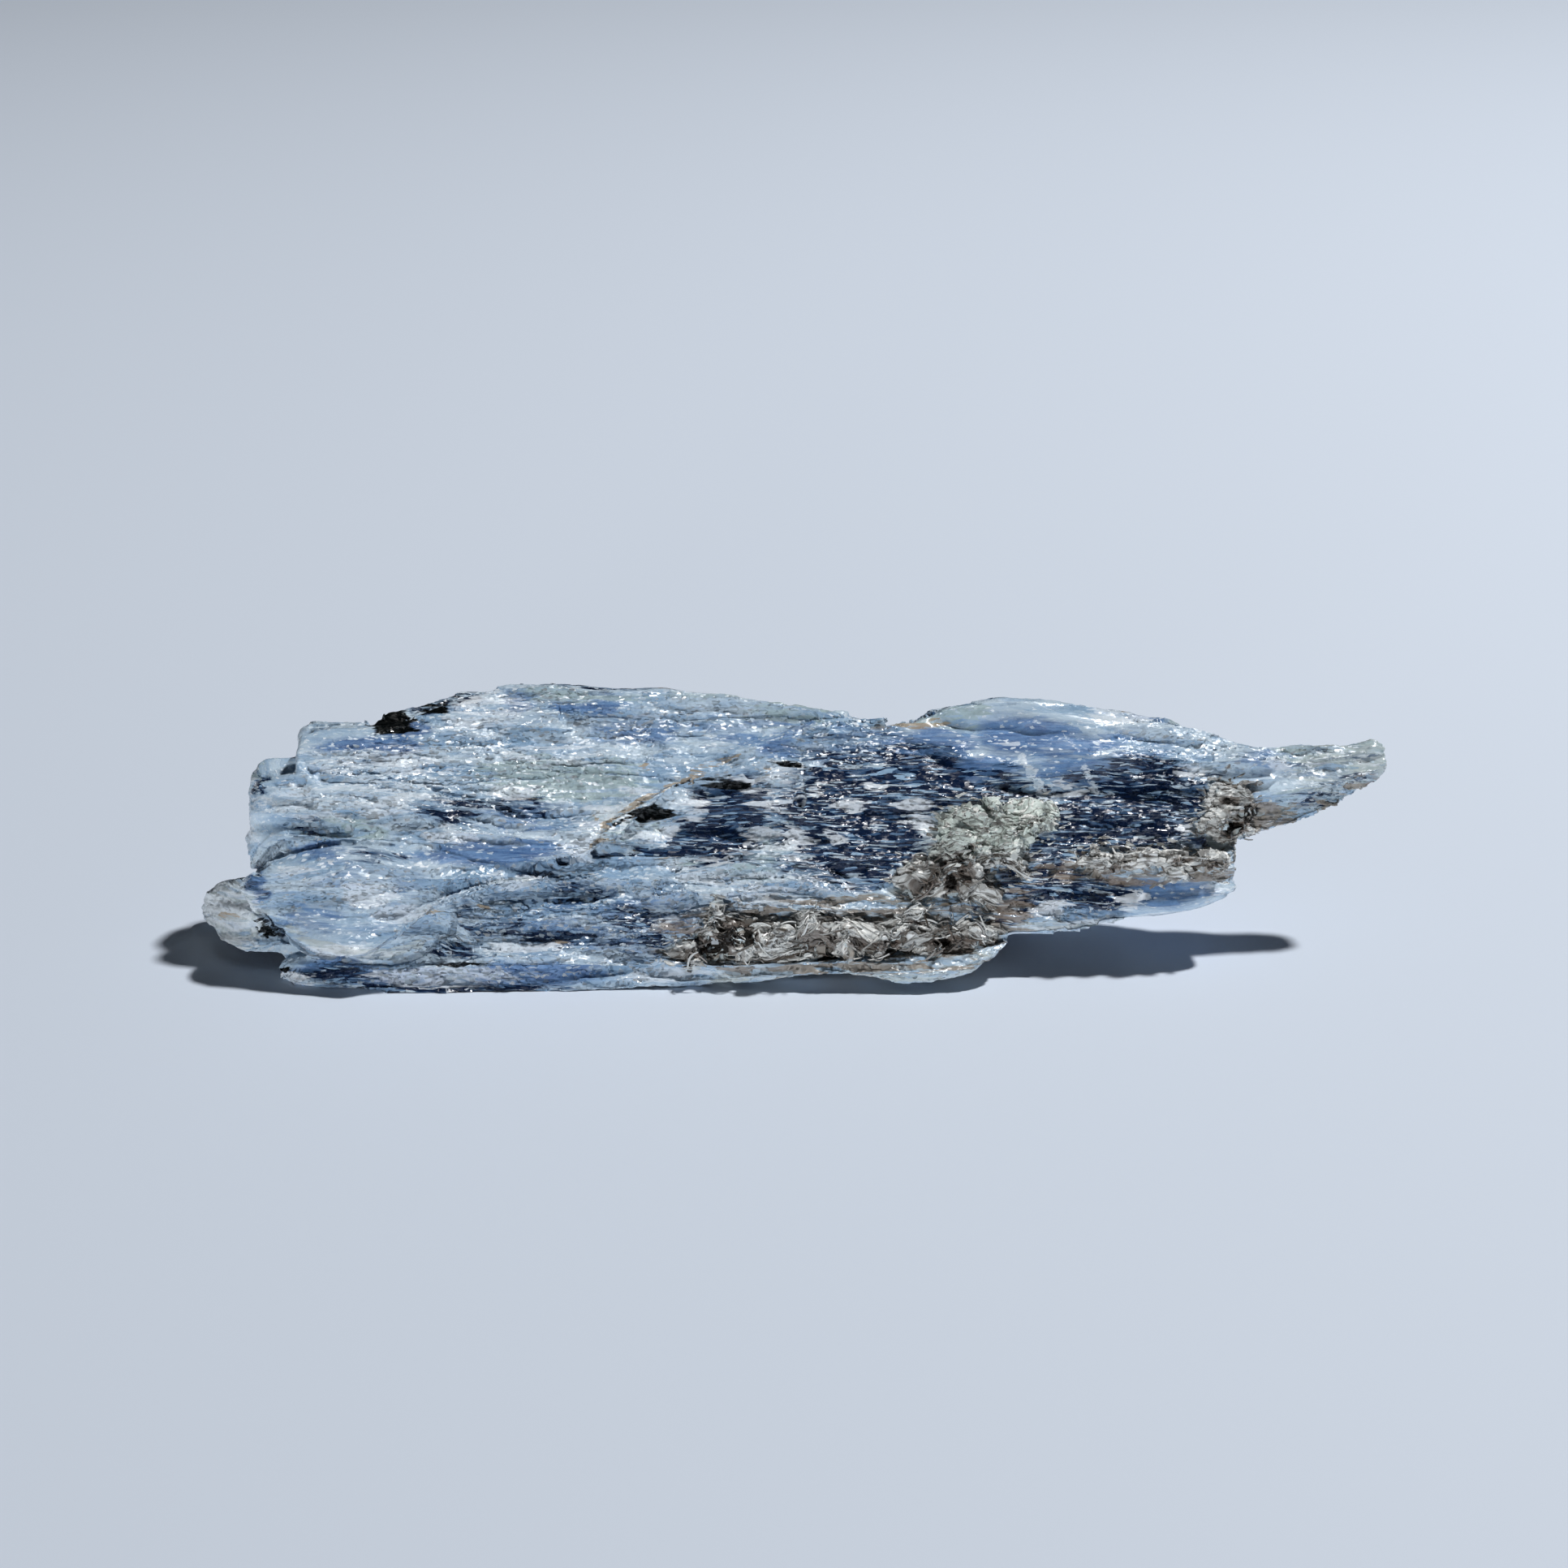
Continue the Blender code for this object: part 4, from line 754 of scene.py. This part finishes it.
def cutIntoLengths(whole, names):
    # one piece for each stretch, so that none grows too heavy
    places = np.quantile(pointsOf(whole)[:, 0], np.linspace(0, 1, len(names) + 1))
    pieces = []
    for k, name in enumerate(names):
        shell = bmesh.new()
        shell.from_mesh(whole)
        bmesh.ops.scale(shell, vec=(1 / mm,) * 3, verts=shell.verts)  # cuts are laid in millimetres
        ends = [(places[k], -1.0)] * (k > 0) + [(places[k + 1], 1.0)] * (k < len(names) - 1)
        for place, side in ends:
            everything = shell.verts[:] + shell.edges[:] + shell.faces[:]
            bmesh.ops.bisect_plane(shell, geom=everything, dist=1e-6, plane_co=(place / mm, 0, 0),
                                   plane_no=(side, 0, 0), clear_outer=True)
            closeCut(shell, side)
        bmesh.ops.scale(shell, vec=(mm,) * 3, verts=shell.verts)
        mesh = bpy.data.meshes.new(name)
        shell.to_mesh(mesh)
        shell.free()
        softEdges(mesh, blades["softAngle"])
        mesh.materials.append(kyanite)
        mesh.calc_loop_triangles()
        print(name, len(mesh.loop_triangles), "triangles")
        pieces.append(newPiece(name, mesh))
    return pieces


kyaniteLook = {
    "pale": colour(192, 210, 224),
    "mid": colour(142, 172, 200),
    "cornflower": colour(100, 138, 186),
    "deep": colour(42, 80, 134),
    "slate": colour(62, 88, 120),
    "navy": colour(19, 34, 60),
    "green": colour(164, 184, 184),
    "leaf": colour(188, 198, 198),
    "white": colour(232, 240, 248),
    "ink": colour(12, 16, 17),
    "brown": colour(138, 126, 114),
    "rust": colour(166, 144, 110),
    "facet": (0.34, 0.14, 0.22),
    "spark": (0.20, 0.12, 0.16),
    "facetTilt": (0.6, 1.3, 1.3),
    "roughness": (0.14, 0.24),  # least, and how much more from facet to facet
    "ior": 1.72,
    "towardsLight": (0.32, 0.44, 0.47),  # turns a facet of the broad face to mirror the light
}


def tiltedNormal(g, chance, tilt, share, extra, bumps):
    # each small cleavage facet leans its own way, and fine steps are raised on top
    combined = g.add("ShaderNodeCombineXYZ", {k: g.centred(chance[k]) for k in range(3)})
    leaning = g.scaled(g.vector("MULTIPLY", combined.outputs[0], tilt), share)
    normal = g.vector("ADD", leaning, g.add("ShaderNodeNewGeometry").outputs["Normal"])
    normal = g.vector("NORMALIZE", g.vector("ADD", normal, extra))
    for height, distance, strength in bumps:
        values = {"Distance": distance * mm, "Strength": strength, "Height": height, "Normal": normal}
        normal = g.add("ShaderNodeBump", values).outputs["Normal"]
    return normal


def kyaniteMaterial():
    look = kyaniteLook
    material, g, shader = newMaterial("kyanite")
    grain = g.mark("grain", "Vector")
    shiver = g.vector("SUBTRACT", g.noise(grain, (1.6, 0.5, 0.8), 3, 0.6, "Color"), (0.5, 0.5, 0.5))
    flow = g.vector("ADD", grain, g.vector("MULTIPLY", shiver, (0.8, 0.16, 0.2)))
    broad = g.noise(flow, (6.0, 1.3, 2.6), 5, 0.62)
    streak = g.noise(flow, (3.2, 0.26, 0.9), 6, 0.68)
    fine = g.noise(flow, (0.9, 0.09, 0.3), 4, 0.7)
    crumb = g.noise(flow, (0.5, 0.26, 0.3), 4, 0.72)
    plate = g.cells(grain, blades["layers"][1][0])[0]
    lath = g.cells(flow, (2.6, 0.34, 0.9))[0]
    sliver = g.cells(flow, (1.0, 0.13, 0.4))[0]
    facet = g.cells(flow, look["facet"])[0]
    patch = g.cells(grain, (1.7, 0.62, 1.1))[0]
    dash = g.cells(flow, (1.3, 0.10, 0.4))[0]
    spark = g.cells(flow, look["spark"])[0]
    cluster = g.noise(flow, (1.8, 0.8, 1.2), 3, 0.6)
    rough = g.mark("rough")
    share, added = g.share, g.added

    def broken(kind, spread, sharp, turn=0, middle=0.5):
        # a marking whose edge breaks up lath by lath
        ragged = added(g.centred(lath[turn], spread), g.centred(sliver[(turn + 1) % 3], 0.6 * spread))
        ragged = added(ragged, g.centred(streak, 1.1 * spread))
        present = g.step(g.mark(kind), 0.0, 0.3)
        return g.step(added(g.mark(kind), share(ragged, present)), middle - sharp, middle + sharp)

    clear = g.step(g.mark("glass"), 0.0, 1.0)
    dull = added(1.0, share(clear, -0.75))
    coarse = share(added(0.3, share(rough, 0.7)), dull)
    mottle = share(added(g.centred(lath[0], 0.28), g.centred(sliver[0], 0.24)), coarse)
    mottle = added(mottle, share(g.centred(patch[0], 0.55), added(0.4, share(coarse, 0.6))))
    # raised laths are painted lighter and sunken ones darker by their height: painted light and shade
    tone = added(mottle, share(g.mark("height"), 0.8))
    tone = added(added(g.centred(broad, 1.6), g.centred(plate[0], 0.5)), tone)
    body = g.mix(g.step(tone, -0.55, 0.40), look["mid"], look["pale"])
    body = g.mix(share(g.step(g.centred(streak, 2.0), 0.05, -0.45), 0.38), body, look["cornflower"])
    for kind, cover in (("green", 0.75), ("leaf", 0.8)):
        body = g.mix(share(broken(kind, 0.8, 0.35), cover), body, look[kind])
    depth = g.step(added(streak, g.centred(lath[1], 0.2)), 0.68, 0.32)
    blue = g.mix(depth, look["cornflower"], look["deep"])
    body = g.mix(share(broken("blue", 0.45, 0.4, 1), 0.88), body, blue)
    body = g.mix(share(broken("navy", 0.8, 0.30, 2, 0.35), 0.8), body, look["slate"])
    dark = g.mix(g.step(sliver[1], 0.72, 0.76), look["navy"], look["slate"])
    dark = g.mix(g.step(sliver[1], 0.93, 0.95), dark, look["mid"])
    dark = g.mix(share(g.step(added(dash[0], g.centred(cluster, 0.4)), 0.91, 0.94), 0.8), dark, look["pale"])
    body = g.mix(broken("navy", 0.65, 0.10, 2, 0.6), body, dark)
    specks = share(g.step(g.centred(crumb, 2.0), -0.05, -0.45), g.mark("crumb"))
    body = g.mix(share(specks, 0.65), body, look["slate"])
    split = g.step(g.noise(flow, (4.0, 0.15, 0.8), 3, 0.6), 0.40, 0.34)
    body = g.mix(share(share(split, 0.32), coarse), body, look["navy"])
    milky = added(0.58, share(g.step(g.mark("navy"), 0.2, 0.8), 0.27))
    body = g.mix(share(broken("white", 0.8, 0.2, 1), milky), body, look["white"])
    wanted = added(share(g.mark("white"), 0.10), added(share(g.mark("crumb"), 0.09), share(rough, 0.10)))
    wanted = added(wanted, share(g.mark("navy"), -0.12))
    chance = added(added(facet[0], g.centred(crumb, 0.3)), wanted)
    # white frost flecks: partly the stone's white cleavage crumbs, partly painted glints; the same cells are
    # also turned to mirror the light
    frostGlint = g.step(chance, 0.94, 0.98)
    body = g.mix(share(frostGlint, 0.8), body, g.mix(facet[1], look["pale"], look["white"]))
    body = g.mix(share(broken("brown", 1.1, 0.25), 0.8), body, look["brown"])
    body = g.mix(share(broken("rust", 1.2, 0.2, 1), 0.75), body, look["rust"])
    # black patches, some of them painted shade in a cavity, a crack and under a ledge
    body = g.mix(broken("ink", 0.5, 0.12, 2), body, look["ink"])
    # painted shade along the grooves: their lines are darkened towards navy
    grooveShade = g.step(added(g.mark("groove"), g.centred(streak, 1.6)), 0.4, 0.8)
    body = g.mix(share(grooveShade, 0.4), body, look["navy"])
    cleft = g.step(added(g.mark("cleft"), added(g.centred(crumb, 1.5), g.centred(spark[2], 0.5))), 0.4, 0.7)
    body = g.mix(share(cleft, 0.7), body, g.mix(facet[1], look["pale"], look["white"]))
    g.plug(shader["Base Color"], body)
    edges = share(g.step(added(facet[2], share(g.mark("navy"), -0.05)), 0.88, 0.90), coarse)
    sparks = g.step(added(spark[0], added(g.centred(cluster, 0.5), share(coarse, 0.07))), 0.99, 1.01)
    glint = share(g.math("MAXIMUM", g.math("MAXIMUM", share(frostGlint, 0.85), edges), sparks), dull)
    lift = g.scaled(look["towardsLight"], glint)
    leaning = share(coarse, g.math("SUBTRACT", 1.0, share(glint, 0.8)))
    bumps = ((streak, 0.06, share(dull, 0.6)), (fine, 0.025, share(dull, 0.7)))
    g.plug(shader["Normal"], tiltedNormal(g, facet, look["facetTilt"], leaning, lift, bumps))
    least, spread = look["roughness"]
    g.plug(shader["Roughness"], added(share(facet[1], spread), least))
    shader["IOR"].default_value = look["ior"]
    return material


kyanite = kyaniteMaterial()
bladeWhole = layBlades()
for piece in cutIntoLengths(bladeWhole.data, blades["lengths"]):
    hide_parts("kyanite_blades")
    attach(piece, "root")
print("blades are laid")


def scatterTree():
    tree = newTree("scatter over a surface", (
        ("Surface", "NodeSocketGeometry"), ("Shapes", "NodeSocketCollection"),
        ("Per square metre", "NodeSocketFloat"), ("Smallest", "NodeSocketVector"),
        ("Largest", "NodeSocketVector"), ("Least turn", "NodeSocketVector"),
        ("Most turn", "NodeSocketVector"), ("Seed", "NodeSocketInt"), ("Finish", "NodeSocketMaterial"),
    ), "Pieces")
    g = Graph(tree)
    given = g.add("NodeGroupInput").outputs
    spots = g.add("GeometryNodeDistributePointsOnFaces", {
        "Mesh": given["Surface"], "Seed": given["Seed"],
        "Density": g.share(given["Per square metre"], g.readFrom("share")),
    }).outputs
    flat = g.add("FunctionNodeAlignRotationToVector", {"Vector": spots["Normal"]}, axis="Z")
    way = {"Vector": g.readFrom("way", "FLOAT_VECTOR"), "Rotation": flat.outputs[0]}
    along = g.add("FunctionNodeAlignRotationToVector", way, axis="X", pivot_axis="Z")

    def drawn(least, most):
        values = {"Min": given[least], "Max": given[most], "Seed": given["Seed"]}
        return g.add("FunctionNodeRandomValue", values, data_type="FLOAT_VECTOR").outputs[0]

    angles = g.add("FunctionNodeEulerToRotation", {0: drawn("Least turn", "Most turn")})
    turn = {"Rotation": along.outputs[0], "Rotate By": angles.outputs[0]}
    shapes = g.add("GeometryNodeCollectionInfo", {
        "Collection": given["Shapes"], "Separate Children": True, "Reset Children": True,
    })
    which = g.add("FunctionNodeRandomValue", {"Min": 0, "Max": 99}, data_type="INT")
    placed = g.add("GeometryNodeInstanceOnPoints", {
        "Points": spots["Points"], "Instance": shapes.outputs[0], "Pick Instance": True,
        "Instance Index": which.outputs["Value"],
        "Rotation": g.add("FunctionNodeRotateRotation", turn, rotation_space="LOCAL").outputs[0],
        "Scale": drawn("Smallest", "Largest"),
    })
    tint = g.add("FunctionNodeRandomValue", data_type="FLOAT").outputs["Value"]
    g.finished(g.store(placed.outputs[0], "tint", tint, "INSTANCE"), given["Finish"])
    return tree


def closedShape(name, rings):
    # rings of points, each joined to the next, with both ends closed
    shell = bmesh.new()
    loops = [[shell.verts.new(point) for point in ring] for ring in rings]
    count = len(rings[0])
    for lower, upper in zip(loops, loops[1:]):
        for k in range(count):
            shell.faces.new((lower[k], lower[(k + 1) % count], upper[(k + 1) % count], upper[k]))
    shell.faces.new(loops[0][::-1])
    shell.faces.new(loops[-1])
    bmesh.ops.recalc_face_normals(shell, faces=shell.faces)
    mesh = bpy.data.meshes.new(name)
    shell.to_mesh(mesh)
    shell.free()
    return mesh


def shapeCollection(name, meshes):
    collection = bpy.data.collections.new(name)
    for k, mesh in enumerate(meshes):
        collection.objects.link(bpy.data.objects.new(f"{name}{k}", mesh))
    return collection


def scaleShapes(count=4, seed=6):
    # flat chips with five or so sides, a little smaller on top
    pick = np.random.default_rng(seed)
    meshes = []
    for k in range(count):
        angles = (np.arange(5) + pick.uniform(-0.3, 0.3, 5)) * math.tau / 5
        edge = [(0.5 * math.cos(a) * pick.uniform(0.75, 1.1), 0.5 * math.sin(a) * pick.uniform(0.75, 1.1))
                for a in angles]
        rings = [[(x, y, -0.5) for x, y in edge], [(0.86 * x + 0.03, 0.86 * y, 0.5) for x, y in edge]]
        meshes.append(closedShape(f"scale{k}", rings))
    return meshes


def strandShapes(count=5, seed=7, steps=5):
    # slivers of mica seen edge-on: thin, closed, bent sideways and arched a little
    pick = np.random.default_rng(seed)
    meshes = []
    for k in range(count):
        sideways, arched = pick.uniform(-3.0, 3.0), pick.uniform(0.2, 1.6)
        rings = []
        for step in range(steps + 1):
            x = step / steps - 0.5
            bow = 1 - 4 * x * x
            half = 0.5 * (0.35 + 0.65 * math.sqrt(max(bow, 0)))
            y, z = sideways * bow, arched * bow
            rings.append([(x, y - half, z - 0.5), (x, y + half, z - 0.5),
                          (x, y + 0.7 * half, z + 0.5), (x, y - 0.7 * half, z + 0.5)])
        meshes.append(closedShape(f"strand{k}", rings))
    return meshes


def scatterOver(host, name, shapes, settings, share, ways, material, tree):
    carrier = newPiece(name, host.data.copy())
    keepValues(carrier.data, "share", share)
    keepVectors(carrier.data, "way", ways)
    giveTree(carrier, tree, {
        "Shapes": shapes, "Per square metre": settings["perSquareMm"] / mm**2,
        "Smallest": [v * mm for v in settings["smallest"]],
        "Largest": [v * mm for v in settings["largest"]],
        "Least turn": [-math.radians(v) for v in settings["turn"]],
        "Most turn": [math.radians(v) for v in settings["turn"]],
        "Seed": settings["seed"], "Finish": material,
    })
    applyModifiers(carrier)
    carrier.data.materials.clear()
    carrier.data.materials.append(material)
    print(name, len(carrier.data.polygons), "faces")
    return carrier


scatter = scatterTree()
scales = shapeCollection("scales", scaleShapes())
strands = shapeCollection("strands", strandShapes())

chips = {
    "lowest": 0.6,  # none lies lower than this above the table
    "endFacing": 0.7,  # and none on a face turned further than this to the ends
    "topFacing": 0.8,  # or to the top
    "patch": (5.0, 1.5, 1.5),
    "rough": 0.8,
    "white": 0.35,
    "scales": {"perSquareMm": 4.6, "smallest": (0.22, 0.15, 0.06), "largest": (0.95, 0.5, 0.18),
               "turn": (26, 22, 30), "seed": 4},
    "flecks": {"perSquareMm": 0.45, "smallest": (0.3, 0.08, 0.05), "largest": (1.3, 0.22, 0.1),
               "turn": (12, 6, 5), "seed": 9},
}


def dressBlades(host):
    mesh = host.data
    points = pointsOf(mesh)
    normals = normalsOf(mesh)
    lying = (np.abs(normals[:, 0]) < chips["endFacing"]) * (normals[:, 2] < chips["topFacing"])
    raised = np.clip((points[:, 2] / mm - chips["lowest"]) / 0.5, 0, 1)
    clear = raised * lying * (1 - 0.9 * readValues(mesh, "glass"))
    patchy = np.clip(0.5 + 0.9 * smoothNoise(toFace(points), chips["patch"], 71), 0, 1)
    crumbly = clear * readValues(mesh, "crumb") * patchy
    dark = clear * readValues(mesh, "navy") * np.clip(patchy * 1.6 - 0.5, 0, 1)
    ways = np.tile((1.0, 0.0, 0.0), (len(points), 1))
    crumbs = scatterOver(host, "kyanite_scales", scales, chips["scales"], crumbly, ways, kyanite, scatter)
    flecks = scatterOver(host, "kyanite_flecks", scales, chips["flecks"], dark, ways, kyanite, scatter)
    tint = readValues(flecks.data, "tint")
    keepValues(flecks.data, "navy", 0 * tint)
    keepValues(flecks.data, "white", chips["white"] * tint)
    for piece in (crumbs, flecks):
        keepGrain(piece.data)
        keepValues(piece.data, "rough", np.full(len(piece.data.vertices), chips["rough"]))
        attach(piece, "root")


dressBlades(bladeWhole)
print("chips lie on the blades")

mica = {
    "square": 0.12,
    "smoothing": 2,
    "sink": 0.05,
    "lump": (1.8, 1.3, 1.3),
    "hollowDepth": 0.3,
    "greenFrom": 9.8,  # the upper part of the knot is green
    "softAngle": 30,
    "fringeFrom": 2.6,  # the fringe stays above this height up the face
    "layers": (
        # size of a strand along, across and through; step between strands; tilt of a strand
        ((2.2, 0.44, 1.5), 0.15, 0.26),
        ((1.1, 0.20, 0.7), 0.06, 0.10),
    ),
    "bend": ((3.2, 2.4, 3.2), (1.5, 1.5, 0.5)),  # how the strands wander: size of a bend, how far
    "straight": {"mica_tip": 0.35, "mica_shelf": 0.25},  # these masses run nearly with the blades
    "nodes": {
        # slot, how far it stands out, height of its lumps, share of scattered strands and leaves
        "mica_knot": ("grey_mica", 0.2, 0.34, 0.2, 0.7),
        "mica_seam": ("brown_mica", 0.2, 0.2, 0.42, 0.3),
        "mica_tip": ("brown_mica", 0.02, 0.12, 0.04, 0.3),
        "mica_shelf": ("brown_mica", 0.02, 0.12, 0.05, 0.25),
    },
    # where the matted sheets leave a hollow, carved in and painted dark as painted shade: along, up, half
    # length, half height, depth
    "hollows": (
        (-5.7, 3.5, 1.2, 0.8, 1.4), (-4.1, 4.9, 1.2, 0.9, 1.3), (-8.9, 2.25, 0.8, 0.3, 0.9),
        (-7.5, 2.25, 0.6, 0.22, 0.9), (2.1, 4.6, 1.6, 0.9, 0.65), (5.2, 4.3, 0.8, 0.5, 0.75),
        (7.1, 4.2, 1, 0.6, 0.75), (12, 3.9, 1.8, 0.9, 0.8), (12.1, 2.9, 1.1, 0.3, 1.2),
        (15.2, 4.4, 0.9, 0.3, 0.7), (9.6, 5.9, 0.6, 0.3, 0.6), (10, 8.7, 1.1, 0.5, 0.85),
        (12.1, 8.5, 0.55, 1.1, 0.95), (13.3, 9.4, 0.6, 0.7, 0.75), (15.2, 8.6, 0.6, 0.3, 0.5),
        (35.4, 13.9, 0.9, 0.8, 1.4), (34, 12.8, 0.8, 0.5, 1.2), (33.4, 15, 0.7, 0.35, 1),
        (31.6, 9.6, 0.9, 0.4, 0.8), (29.5, 10.4, 0.8, 0.25, 0.7), (24.8, 9.7, 0.8, 0.3, 0.7),
        (27.6, 9.4, 0.7, 0.3, 0.5),
    ),
    "strands": {"perSquareMm": 4.5, "smallest": (0.6, 0.06, 0.05), "largest": (1.9, 0.19, 0.12),
                "turn": (18, 7, 16), "seed": 8},
    "leaves": {"perSquareMm": 3.4, "smallest": (0.4, 0.22, 0.03), "largest": (1.2, 0.6, 0.06),
               "turn": (32, 18, 30), "seed": 12},
    "halo": {"perSquareMm": 2.4, "smallest": (0.3, 0.12, 0.04), "largest": (1.3, 0.4, 0.07),
             "turn": (20, 10, 24), "seed": 15},
}


def keepMicaMarks(mesh, node):
    local = toFace(pointsOf(mesh))
    size, reach = mica["bend"]
    wander = np.stack([smoothNoise(local, size, seed, 2) for seed in (67, 68, 69)], axis=1)
    grain = local + mica["straight"].get(node, 1.0) * np.array(reach) * wander
    ragged = 0.45 * smoothNoise(grain, (1.6, 0.4, 1.2), 70)
    hollow = np.zeros(len(local))
    along, up = local[:, 0] + 0.5 * wander[:, 0], local[:, 1] + 0.4 * wander[:, 1]
    for *oval, depth in mica["hollows"]:
        hollow = np.maximum(hollow, depth * faded(fromOval(along, up, *oval) + ragged, 1.0))
    leaf = np.clip((local[:, 1] + wander[:, 1] - mica["greenFrom"]) / 2.0, 0, 1) * (node == "mica_knot")
    keepValues(mesh, "hollow", hollow)
    keepValues(mesh, "leaf", leaf)
    keepValues(mesh, "relief", np.ones(len(local)))
    keepValues(mesh, "buried", np.zeros(len(local)))
    keepValues(mesh, "tint", np.full(len(local), 0.5))
    keepVectors(mesh, "grain", grain)
    return local, hollow


def strandWays(mesh, node):
    # the way that the strands run on the surface, across the steepest change of the bent grain
    local = toFace(pointsOf(mesh))
    size, reach = mica["bend"]
    bend = mica["straight"].get(node, 1.0) * reach[1]
    step = 0.05
    here = smoothNoise(local, size, 68, 2)
    slopeAlong = bend * (smoothNoise(local + (step, 0, 0), size, 68, 2) - here) / step
    slopeUp = 1 + bend * (smoothNoise(local + (0, step, 0), size, 68, 2) - here) / step
    return np.stack([slopeUp, -slopeAlong * leanSin, -slopeAlong * leanCos], axis=1)


def matMica(node, material, grow, lumps):
    piece = denseCopy([node], node + "_mat", mica["square"], grow, mica["smoothing"])
    mesh = piece.data
    local, hollow = keepMicaMarks(mesh, node)
    height = lumps * smoothNoise(local, mica["lump"], 62, 2) - mica["hollowDepth"] * hollow
    movePoints(mesh, pointsOf(mesh) + normalsOf(mesh) * (height * mm)[:, None])
    giveTree(piece, stepped["mica"], layerValues(mica["layers"], mica["sink"], material))
    applyModifiers(piece)
    softEdges(piece.data, mica["softAngle"])
    piece.data.materials.clear()
    piece.data.materials.append(material)
    return piece


micaLook = {
    "sheet": colour(212, 216, 216),
    "dark": colour(108, 104, 99),
    "brown": colour(70, 58, 48),
    "pit": colour(112, 101, 94),
    "ink": colour(24, 21, 18),
    "green": colour(208, 220, 214),
    "white": colour(242, 242, 238),
    "facetTilt": (0.8, 0.8, 0.8),
    "roughness": 0.27,
    "ior": 1.58,
}


def micaMaterial(name, greenShare):
    look = micaLook
    material, g, shader = newMaterial(name)
    where = g.mark("grain", "Vector")
    leafSize = mica["layers"][0][0]
    patch = g.noise(where, (3.4, 1.3, 2.8), 4, 0.6)
    fine = g.noise(where, (2.2, 0.12, 0.9), 5, 0.7)
    leaf = g.cells(where, leafSize)[0]
    strand = g.cells(where, mica["layers"][1][0])[0]
    facet = g.cells(where, (0.4, 0.16, 0.3))[0]
    seam = g.step(g.seams(where, leafSize), 0.09, 0.03)
    share, added = g.share, g.added
    tone = added(added(g.centred(leaf[0], 0.9), g.centred(strand[0], 0.5)),
                 added(g.centred(patch, 1.8), g.centred(fine, 1.3)))
    # raised sheets are painted lighter and sunken ones darker by their height (painted light and shade),
    # with a tone that differs from piece to piece
    tone = added(tone, added(share(g.mark("height"), 1.0), g.centred(g.mark("tint"), 0.9)))
    # the top of the knot is painted lighter: a painted sheen on its upper rim
    rim = g.step(added(g.mark("leaf"), g.centred(fine, 0.8)), 0.75, 1.2)
    tone = added(tone, share(rim, 0.8))
    leafy = share(g.mark("leaf"), greenShare)
    body = g.mix(g.step(tone, -0.7, 0.2), look["dark"], look["sheet"])
    body = g.mix(share(g.step(tone, 0.15, 0.7), 0.7), body, look["white"])
    body = g.mix(share(leafy, g.step(tone, -0.4, 0.1)), body, look["green"])
    body = g.mix(share(seam, 0.55), body, look["brown"])
    glint = g.step(added(facet[0], share(leafy, 0.13)), 0.88, 0.92)
    body = g.mix(share(glint, 0.8), body, look["white"])
    uneven = added(g.centred(fine, 0.7), g.centred(strand[1], 0.3))
    # the hollows are painted brown-grey and then near black towards their middle: painted shade in the
    # hollows
    body = g.mix(share(g.step(added(g.mark("hollow"), uneven), 0.2, 0.45), 0.75), body, look["pit"])
    body = g.mix(share(g.step(added(g.mark("hollow"), uneven), 0.6, 0.95), 0.93), body, look["ink"])
    g.plug(shader["Base Color"], body)
    bumps = ((patch, 0.10, 0.5), (fine, 0.05, 0.8))
    lift = g.scaled(kyaniteLook["towardsLight"], glint)
    g.plug(shader["Normal"], tiltedNormal(g, facet, look["facetTilt"], 1.0, lift, bumps))
    shader["Roughness"].default_value = look["roughness"]
    shader["IOR"].default_value = look["ior"]
    return material


micaFinish = {"grey_mica": micaMaterial("grey mica", 0.9), "brown_mica": micaMaterial("brown mica", 0.0)}
for node, (slot, grow, lumps, strandShare, leafShare) in mica["nodes"].items():
    finish = micaFinish[slot]
    mat = matMica(node, finish, grow, lumps)
    solid = 1 - 0.8 * np.clip(readValues(mat.data, "hollow"), 0, 1)
    leafy = leafShare * solid * (0.5 + 0.5 * readValues(mat.data, "leaf"))
    stringy = strandShare * solid * (1 - readValues(mat.data, "leaf"))
    ways = strandWays(mat.data, node)
    pieces = [
        mat,
        scatterOver(mat, node + "_strands", strands, mica["strands"], stringy, ways, finish, scatter),
        scatterOver(mat, node + "_leaves", scales, mica["leaves"], leafy, ways, finish, scatter),
    ]
    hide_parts(node)
    for piece in pieces:
        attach(piece, "root")

raised = np.clip(toFace(pointsOf(bladeWhole.data))[:, 1] - mica["fringeFrom"], 0, 1)
near = readValues(bladeWhole.data, "near") * raised
fringe = scatterOver(bladeWhole, "mica_fringe", scales, mica["halo"], near,
                     strandWays(bladeWhole.data, "mica_seam"), micaFinish["brown_mica"], scatter)
keepMicaMarks(fringe.data, "mica_seam")
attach(fringe, "root")
bpy.data.objects.remove(bladeWhole)
print("mica is matted")
